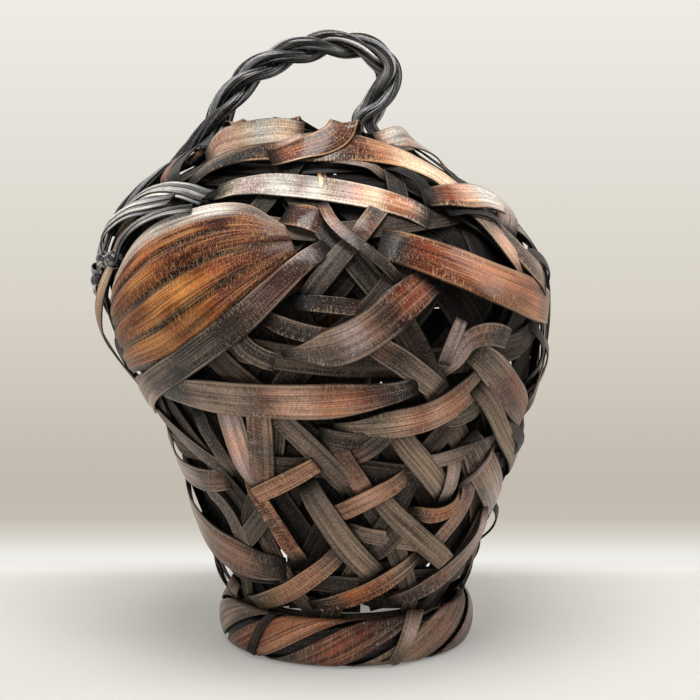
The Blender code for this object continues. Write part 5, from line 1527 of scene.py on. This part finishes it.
# %% Foot ring bands
RING_TWISTS = 3
BAND_SHARE = 0.80
RING_TONES = ["umber ash russet ash umber rose umber umber ash russet umber umber ash russet rose umber umber",
              "umber ash rose umber rose ash russet copper copper rose umber ash rose umber rose",
              "umber ash rose umber lilac taupe ash rose ash taupe rose umber rose ash umber"]
for index in range(3):
    def band_spot(along, across):
        turn = 0.42 + 1.004 * along
        section = index / 3 + RING_TWISTS * turn + (across - 0.5) * BAND_SHARE / 3
        lift = STRIP * (1 + 1.1 * ease((along - 0.985) / 0.012))
        spots = ring(turn, section, lift)
        outward = unit(ring(turn, section, lift + NUDGE) - spots)
        spots[:, 2] = np.maximum(spots[:, 2], STRIP)
        return spots, outward

    def band_tone(along, across):
        tone = tones_along(RING_TONES[index], along)
        # Darker towards the band's edges, where it turns under its neighbours: painted shade.
        return 1.25 * tone * (1 - 0.45 * np.abs(2 * across - 1) ** 3)[:, None]

    node = f"foot_twist_{index + 1}"
    mesh = bent_sheet(node + "_skin", 260, 13, band_spot, band_tone, KINDS["foot band"] + index)
    spots = np.array([corner.co for corner in mesh.vertices])
    spots[:, 2] = np.maximum(spots[:, 2], 0.0)
    mesh.vertices.foreach_set("co", spots.ravel())
    slot = ("polished_bamboo", "brown_bamboo", "brown_bamboo")[index]
    plain_piece(node + "_skin", mesh, brown_finish, [node])

# %% Foot ties
TIE_LOWEST = 0.0032
for number, (node, tie_turn) in enumerate((("foot_tie_left", -0.115), ("foot_tie_right", 0.075))):
    share = np.linspace(0, 1, 40)
    section = 0.27 - 0.47 * share
    turn = tie_turn - 0.05 * (share - 0.5)
    spots = ring(turn, section, LAYER_STEP)
    outward = ring(turn, section, LAYER_STEP + NUDGE) - spots
    spots[:, 2] = np.maximum(spots[:, 2], TIE_LOWEST)
    tones = ("black soot umber soot black", "umber ash lilac ash umber soot")[number]
    path = Path(spots, outward, (0.0030, 0.0046)[number], tones, KINDS["foot tie"] + number)
    lay_strips(node + "_skin", [path], (dark_finish, brown_finish)[number], [node], "dark_bamboo",
               crown=0.08, section_points=12)


# %% Foot core
def closed_ring(name, steps, rows, spot_at, tone, kind):
    """A closed ring with a round section, with its grain running round the ring."""
    turn, section = np.meshgrid(np.arange(steps) / steps, np.arange(rows) / rows, indexing="ij")
    spots = spot_at(turn.ravel(), section.ravel())
    faces = [(i * rows + j, (i + 1) % steps * rows + j,
              (i + 1) % steps * rows + (j + 1) % rows, i * rows + (j + 1) % rows)
             for i in range(steps) for j in range(rows)]
    mesh = bpy.data.meshes.new(name)
    mesh.from_pydata(spots.tolist(), [], faces)
    places = [((i + a) / steps * 0.42, (j + b) / rows * 0.06)
              for i in range(steps) for j in range(rows) for a, b in ((0, 0), (1, 0), (1, 1), (0, 1))]
    mesh.uv_layers.new(name="UVMap").data.foreach_set("uv", np.array(places).ravel())
    tones = np.tile((*from_screen(TONES[tone]), 1.0), (len(spots), 1))
    note_points(mesh, "tone", "FLOAT_COLOR", "color", tones)
    strip = np.tile((0.0, 1.0, kind), (len(spots), 1))
    note_points(mesh, "strip", "FLOAT_VECTOR", "vector", strip)
    face_outwards(mesh)
    mesh.shade_smooth()
    return mesh


def core_spot(turn, section):
    """The hoop inside the bands, with seven low ridges along it."""
    angle = 2 * math.pi * section
    ridges = 1 + 0.035 * np.cos(7 * angle)
    radius = FOOT_RADIUS + 0.80 * FOOT_HALF_WIDTH * ridges * np.cos(angle)
    height = FOOT_MIDDLE + 0.80 * FOOT_HALF_HEIGHT * ridges * np.sin(angle)
    turn = 2 * math.pi * turn
    return np.stack([FOOT_X + radius * np.sin(turn), -radius * np.cos(turn), height], axis=-1)


core_mesh = closed_ring("foot_core_hoop_skin", 144, 42, core_spot, "soot", KINDS["foot core"])
plain_piece("foot_core_hoop_skin", core_mesh, dark_finish, ["foot_core_hoop"])
print("foot ring pieces: 6")

# %% [markdown]
# ## The floor and the water tube
# Flowers stand in water, and bamboo leaks, so such a basket holds a tube: a length of green
# culm with its own floor, dried to a yellowish brown. It stands on a small plaited floor
# that hangs on a hoop inside the foot, and it lifts straight out through the mouth.

# %% The plaited floor
BASE_HOOP_LOW = 0.028
BASE_HOOP_HIGH = 0.062
BASE_HOOP_OUT = -STRIP - 2 * LAYER_GAP
FLOOR_SLATS = 3
FLOOR_HEIGHT = wall(0.0, BASE_HOOP_HIGH, BASE_HOOP_OUT)[2] + 0.0003 + PLAIT_SWING
FLOOR_REACH = float(profile(BASE_HOOP_HIGH)[0]) - STRIP
FLOOR_SPACING = BODY_RADIUS * 0.20
SLAT_HALF_WIDTH = 0.4 * SWEEP_WIDTH
SLAT_POINTS = 60


def base_hoop_route(shares):
    turn = 0.2 + 1.01 * shares
    lift = 0.0011 * ease((shares - 0.985) / 0.01)
    return turn, np.full_like(turn, (BASE_HOOP_LOW + BASE_HOOP_HIGH) / 2), BASE_HOOP_OUT - lift


hoop_half = (BASE_HOOP_HIGH - BASE_HOOP_LOW) * WALL_LENGTH / 2
path = wall_path(base_hoop_route, hoop_half, "umber ash slate umber ash umber", KINDS["base hoop"])
lay_strips("base_hoop_skin", [path], grey_finish, ["base_hoop"], "grey_bamboo")


def slat_path(number, crosswise):
    """A floor slat: over and under the crossing ones, and down onto the hoop at both ends."""
    middle = (number - (FLOOR_SLATS - 1) / 2) * FLOOR_SPACING
    inner = math.sqrt(FLOOR_REACH ** 2 - (abs(middle) + SLAT_HALF_WIDTH) ** 2)
    sign = 1 if (number % 2 == 0) != crosswise else -1
    run = np.linspace(-inner, inner, SLAT_POINTS)
    last = FLOOR_SPACING + SLAT_HALF_WIDTH
    lie_down = ease(2 * (np.abs(run) - last) / (inner - last))
    swing = sign * flat_wave(math.pi * run / FLOOR_SPACING) * (1 - lie_down) - lie_down
    height = FLOOR_HEIGHT + PLAIT_SWING * swing
    aside = np.full_like(run, middle)
    spots = (FOOT_X + aside, run, height) if crosswise else (FOOT_X + run, aside, height)
    spots = np.stack(spots, axis=1)
    upright = np.tile((0.0, 0.0, 1.0), (SLAT_POINTS, 1))
    return Path(spots, upright, SLAT_HALF_WIDTH, WORN_AND_SHADED_TONES[number], KINDS["slat"] + number)


for number in range(FLOOR_SLATS):
    for crosswise, family in ((False, "long"), (True, "cross")):
        node = f"floor_slat_{family}_{number + 1}"
        path = slat_path(number, crosswise)
        lay_strips(node + "_skin", [path], grey_finish, [node], "grey_bamboo", crown=0.0)
print("floor slats laid:", 2 * FLOOR_SLATS)

# %% The water tube
TUBE_RADIUS = 0.024
TUBE_WALL = 0.003
TUBE_X = BODY_RADIUS * 0.015
TUBE_Y = -BODY_RADIUS * 0.095
TUBE_BOTTOM = FLOOR_HEIGHT + PLAIT_SWING + STRIP + 0.0003
TUBE_HEIGHT = RIM_HEIGHT * 0.56
TUBE_TOP = TUBE_BOTTOM + TUBE_HEIGHT
TUBE_JOINT = TUBE_BOTTOM + TUBE_HEIGHT * 0.62
culm_finish = bamboo_finish("oiled culm", 0.35, 0.20, 0.0, 0.34, (0.42, 0.33, 0.18), coat=0.25,
                            inner=(0.20, 0.13, 0.065))


def joint_swell(height):
    """The swelling of the culm at its joint, with the fine groove above it."""
    away = (height - TUBE_JOINT) / (1.1 * TUBE_WALL)
    return TUBE_WALL * (0.35 * np.exp(-away ** 2) - 0.12 * np.exp(-((away - 1.6) / 0.5) ** 2))


def tube_profile():
    """(radius, height, face) up the outside, over the lip and down inside to the tube's floor."""
    heights = np.concatenate([np.linspace(TUBE_BOTTOM + 0.0009, TUBE_JOINT - 0.009, 12),
                              np.linspace(TUBE_JOINT - 0.008, TUBE_JOINT + 0.010, 25),
                              np.linspace(TUBE_JOINT + 0.013, TUBE_TOP - 0.0009, 10)])
    outside = [(0.0, TUBE_BOTTOM, 1), (TUBE_RADIUS - 0.0012, TUBE_BOTTOM, 1),
               (TUBE_RADIUS - 0.0003, TUBE_BOTTOM + 0.0003, 1)]
    outside += [(TUBE_RADIUS + joint_swell(height), height, 1) for height in heights]
    lip = [(TUBE_RADIUS - 0.0003, TUBE_TOP - 0.0002, 1), (TUBE_RADIUS - 0.0009, TUBE_TOP, 1),
           (TUBE_RADIUS - TUBE_WALL + 0.0006, TUBE_TOP, -1), (TUBE_RADIUS - TUBE_WALL, TUBE_TOP - 0.0006, -1)]
    well = TUBE_BOTTOM + TUBE_WALL * 1.4
    inside = [(TUBE_RADIUS - TUBE_WALL, height, -1)
              for height in np.linspace(TUBE_TOP - 0.01, well + 0.002, 8)]
    inside += [(TUBE_RADIUS - TUBE_WALL - 0.0006, well + 0.0005, -1),
               (TUBE_RADIUS - TUBE_WALL - 0.003, well, -1), (0.0, well, -1)]
    return outside + lip + inside


def turned_mesh(name, rows, centre, steps, tone_at, kind):
    """Turn a profile about an upright axis; the first and last points close it at the poles."""
    walked = np.concatenate([[0], np.cumsum([math.dist(a[:2], b[:2]) for a, b in zip(rows, rows[1:])])])
    made = bmesh.new()
    uv = made.loops.layers.uv.new("UVMap")
    tone = made.verts.layers.float_color.new("tone")
    strip = made.verts.layers.float_vector.new("strip")

    def point(row, step):
        radius, height, face = rows[row]
        angle = 2 * math.pi * step / steps
        corner = made.verts.new((centre[0] + radius * math.sin(angle),
                                 centre[1] - radius * math.cos(angle), height))
        corner[tone] = (*tone_at(height, face), 1.0)
        corner[strip] = (0.0, face, kind)
        return corner

    rings = [[point(0, 0)]] + [[point(row, step) for step in range(steps)] for row in range(1, len(rows) - 1)]
    rings.append([point(len(rows) - 1, 0)])
    for row in range(len(rows) - 1):
        for step in range(steps):
            low = [rings[row][(step + k) % len(rings[row])] for k in (0, 1)]
            high = [rings[row + 1][(step + k) % len(rings[row + 1])] for k in (1, 0)]
            corners = [*dict.fromkeys(low + high)]
            face = made.faces.new(corners)
            for loop in face.loops:
                upper = loop.vert in high
                ahead = loop.vert in (low[1], high[0])
                loop[uv].uv = (walked[row + upper], (step + ahead) / steps * 2 * math.pi * TUBE_RADIUS)
    bmesh.ops.recalc_face_normals(made, faces=made.faces)
    mesh = bpy.data.meshes.new(name)
    made.to_mesh(mesh)
    made.free()
    mesh.shade_smooth()
    return mesh


def culm_tone(height, face):
    """Tan skin, paler under the joint and darker at the tube's foot."""
    share = (height - TUBE_BOTTOM) / TUBE_HEIGHT
    tone = tones_along("umber chestnut russet chestnut russet amber", [share])[0]
    return tone * (0.8 if face > 0 else 0.6)


tube_mesh = turned_mesh("water_tube_skin", tube_profile(), (TUBE_X, TUBE_Y), 96, culm_tone, KINDS["tube"])
plain_piece("water_tube_skin", tube_mesh, culm_finish, ["water_tube"], "water_tube")
print("tube:", round(TUBE_HEIGHT * 1000), "mm tall,", len(tube_mesh.polygons), "faces")

# %% [markdown]
# ## The stage
# The photograph shows a smooth paper sweep: a pale floor that bends up into a slightly
# darker wall, with a soft shadow round the foot. Big soft lamps give the broad highlights on
# the polished strips. The wall glows with its colour ramp, which is painted light and shade:
# bright at the bend, darker low on the wall and lighter towards the top; no lamp is turned up
# for it. The floor glows with part of that colour, which lightens its shadow. To a camera behind
# the paper it is clear, so the basket's back can be looked at.

# %% Floor and backdrop
BEND_START = 0.12
BEND_RADIUS = 0.10
BEND_STEPS = 12


def sweep_mesh():
    """The paper: flat on the floor, round the bend and up the wall."""
    rows = [(-1.6, 0.0), (-0.6, 0.0), (-0.2, 0.0), (BEND_START, 0.0)]
    for step in range(1, BEND_STEPS + 1):
        angle = math.pi / 2 * step / BEND_STEPS
        rows.append((BEND_START + BEND_RADIUS * math.sin(angle), BEND_RADIUS * (1 - math.cos(angle))))
    rows += [(BEND_START + BEND_RADIUS, height) for height in (0.3, 0.8, 1.6)]
    made = bmesh.new()
    lines = [[made.verts.new((x, y, z)) for x in (-1.8, -0.6, 0.0, 0.6, 1.8)] for y, z in rows]
    for low, high in zip(lines, lines[1:]):
        for k in range(4):
            made.faces.new((low[k], low[k + 1], high[k + 1], high[k]))
    mesh = bpy.data.meshes.new("paper_sweep")
    made.to_mesh(mesh)
    made.free()
    mesh.shade_smooth()
    return mesh


# The paper's colours at shares of PAPER_TOP, a ramp of painted light and shade, and the share of it that glows on
# the floor and lightens the shadow there.
PAPER_SHARES = [(0.000, (226, 225, 221)), (0.004, (240, 238, 234)), (0.018, (238, 236, 231)),
                (0.042, (213, 209, 199)), (0.066, (197, 190, 178)), (0.110, (194, 186, 174)),
                (0.180, (198, 190, 179)), (0.270, (205, 198, 186)), (0.450, (217, 211, 200)),
                (0.610, (222, 218, 208)), (0.800, (230, 227, 220)), (1.000, (239, 236, 229))]
PAPER_TOP = 0.36
FLOOR_SHOWN = 0.28


def paper_finish():
    """Pale paper. Its colour ramp of painted light and shade glows on the wall, and in part on the floor."""
    material = bpy.data.materials.new("pale paper")
    material.use_nodes = True
    tree = material.node_tree
    shader = tree.nodes["Principled BSDF"]
    place = add_node(tree, "ShaderNodeNewGeometry").outputs["Position"]
    height = add_node(tree, "ShaderNodeSeparateXYZ", {0: place}).outputs["Z"]
    share = add_node(tree, "ShaderNodeMapRange", {"Value": height, "From Min": 0.0, "From Max": PAPER_TOP})
    ramp = add_node(tree, "ShaderNodeValToRGB", {"Fac": share.outputs[0]}).color_ramp
    for place_share, colour in PAPER_SHARES[1:-1]:
        ramp.elements.new(place_share).color = (*from_screen(colour), 1)
    ramp.elements[0].color = (*from_screen(PAPER_SHARES[0][1]), 1)
    ramp.elements[-1].color = (*from_screen(PAPER_SHARES[-1][1]), 1)
    colour = next(node for node in tree.nodes if node.type == "VALTORGB").outputs[0]
    fleck = add_node(tree, "ShaderNodeTexNoise", {
        "Vector": place, "Scale": 700.0, "Detail": 2.0}).outputs["Fac"]
    relief = add_node(tree, "ShaderNodeBump", {"Strength": 0.15, "Distance": 0.0002, "Height": fleck})
    tree.links.new(colour, shader.inputs["Base Color"])
    tree.links.new(relief.outputs[0], shader.inputs["Normal"])
    shader.inputs["Roughness"].default_value = 0.9
    shader.inputs["Specular IOR Level"].default_value = 0.1
    shown = add_node(tree, "ShaderNodeEmission", {"Color": colour, "Strength": 1.0})
    rays = add_node(tree, "ShaderNodeLightPath").outputs
    seen = compute(tree, "MAXIMUM", rays["Is Camera Ray"], rays["Is Glossy Ray"])
    seen = compute(tree, "MAXIMUM", seen, rays["Is Transmission Ray"])
    upright = add_node(tree, "ShaderNodeMapRange", {
        "Value": height, "From Min": 0.0, "From Max": 0.004, "To Min": FLOOR_SHOWN}).outputs[0]
    mixed = add_node(tree, "ShaderNodeMixShader", {0: compute(tree, "MULTIPLY", seen, upright)})
    tree.links.new(shader.outputs[0], mixed.inputs[1])
    tree.links.new(shown.outputs[0], mixed.inputs[2])
    backfacing = add_node(tree, "ShaderNodeNewGeometry").outputs["Backfacing"]
    behind = compute(tree, "MULTIPLY", backfacing, rays["Is Camera Ray"])
    opened = add_node(tree, "ShaderNodeMixShader", {0: behind})
    clear = add_node(tree, "ShaderNodeBsdfTransparent")
    tree.links.new(mixed.outputs[0], opened.inputs[1])
    tree.links.new(clear.outputs[0], opened.inputs[2])
    tree.links.new(opened.outputs[0], tree.nodes["Material Output"].inputs["Surface"])
    return material


paper = new_object("paper_sweep", sweep_mesh())
paper.data.materials.append(paper_finish())
print("colours of the paper:", len(PAPER_SHARES))


# %% Lamps
LAMPS = (
    ("overhead softbox", (-0.04, -0.30, 1.12), (0.0, 0.0, 0.15), (0.60, 0.50), 11.0, (1.0, 0.985, 0.96)),
    ("front fill", (-0.9, -1.4, 0.7), (0.0, 0.0, 0.15), (0.9, 0.9), 3.8, (1.0, 1.0, 1.0)),
    ("right rim lamp", (1.15, 0.05, 0.80), (0.05, 0.0, 0.18), (0.30, 0.7), 3.0, (1.0, 1.0, 1.0)),
)
SKY_COLOUR = (1.0, 0.98, 0.95, 1)
SKY_STRENGTH = 0.15


def softbox(name, spot, aim, size, watts, colour):
    lamp = bpy.data.lights.new(name, "AREA")
    lamp.shape = "RECTANGLE"
    lamp.size, lamp.size_y = size
    lamp.energy = watts
    lamp.color = colour
    holder = new_object(name, lamp)
    holder.location = spot
    holder.rotation_euler = (Vector(aim) - Vector(spot)).to_track_quat("-Z", "Y").to_euler()


for lamp in LAMPS:
    softbox(*lamp)
world = bpy.data.worlds.new("studio")
world.use_nodes = True
sky = world.node_tree.nodes["Background"].inputs
sky["Color"].default_value = SKY_COLOUR
sky["Strength"].default_value = SKY_STRENGTH
bpy.context.scene.world = world
bpy.context.scene.view_settings.view_transform = "Standard"
print("lamps:", len(LAMPS))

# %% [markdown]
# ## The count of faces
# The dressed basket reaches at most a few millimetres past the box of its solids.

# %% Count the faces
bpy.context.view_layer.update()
faces = sum(len(piece.data.polygons) for piece in bpy.data.objects if piece.type == "MESH")
print("faces in the scene:", faces)
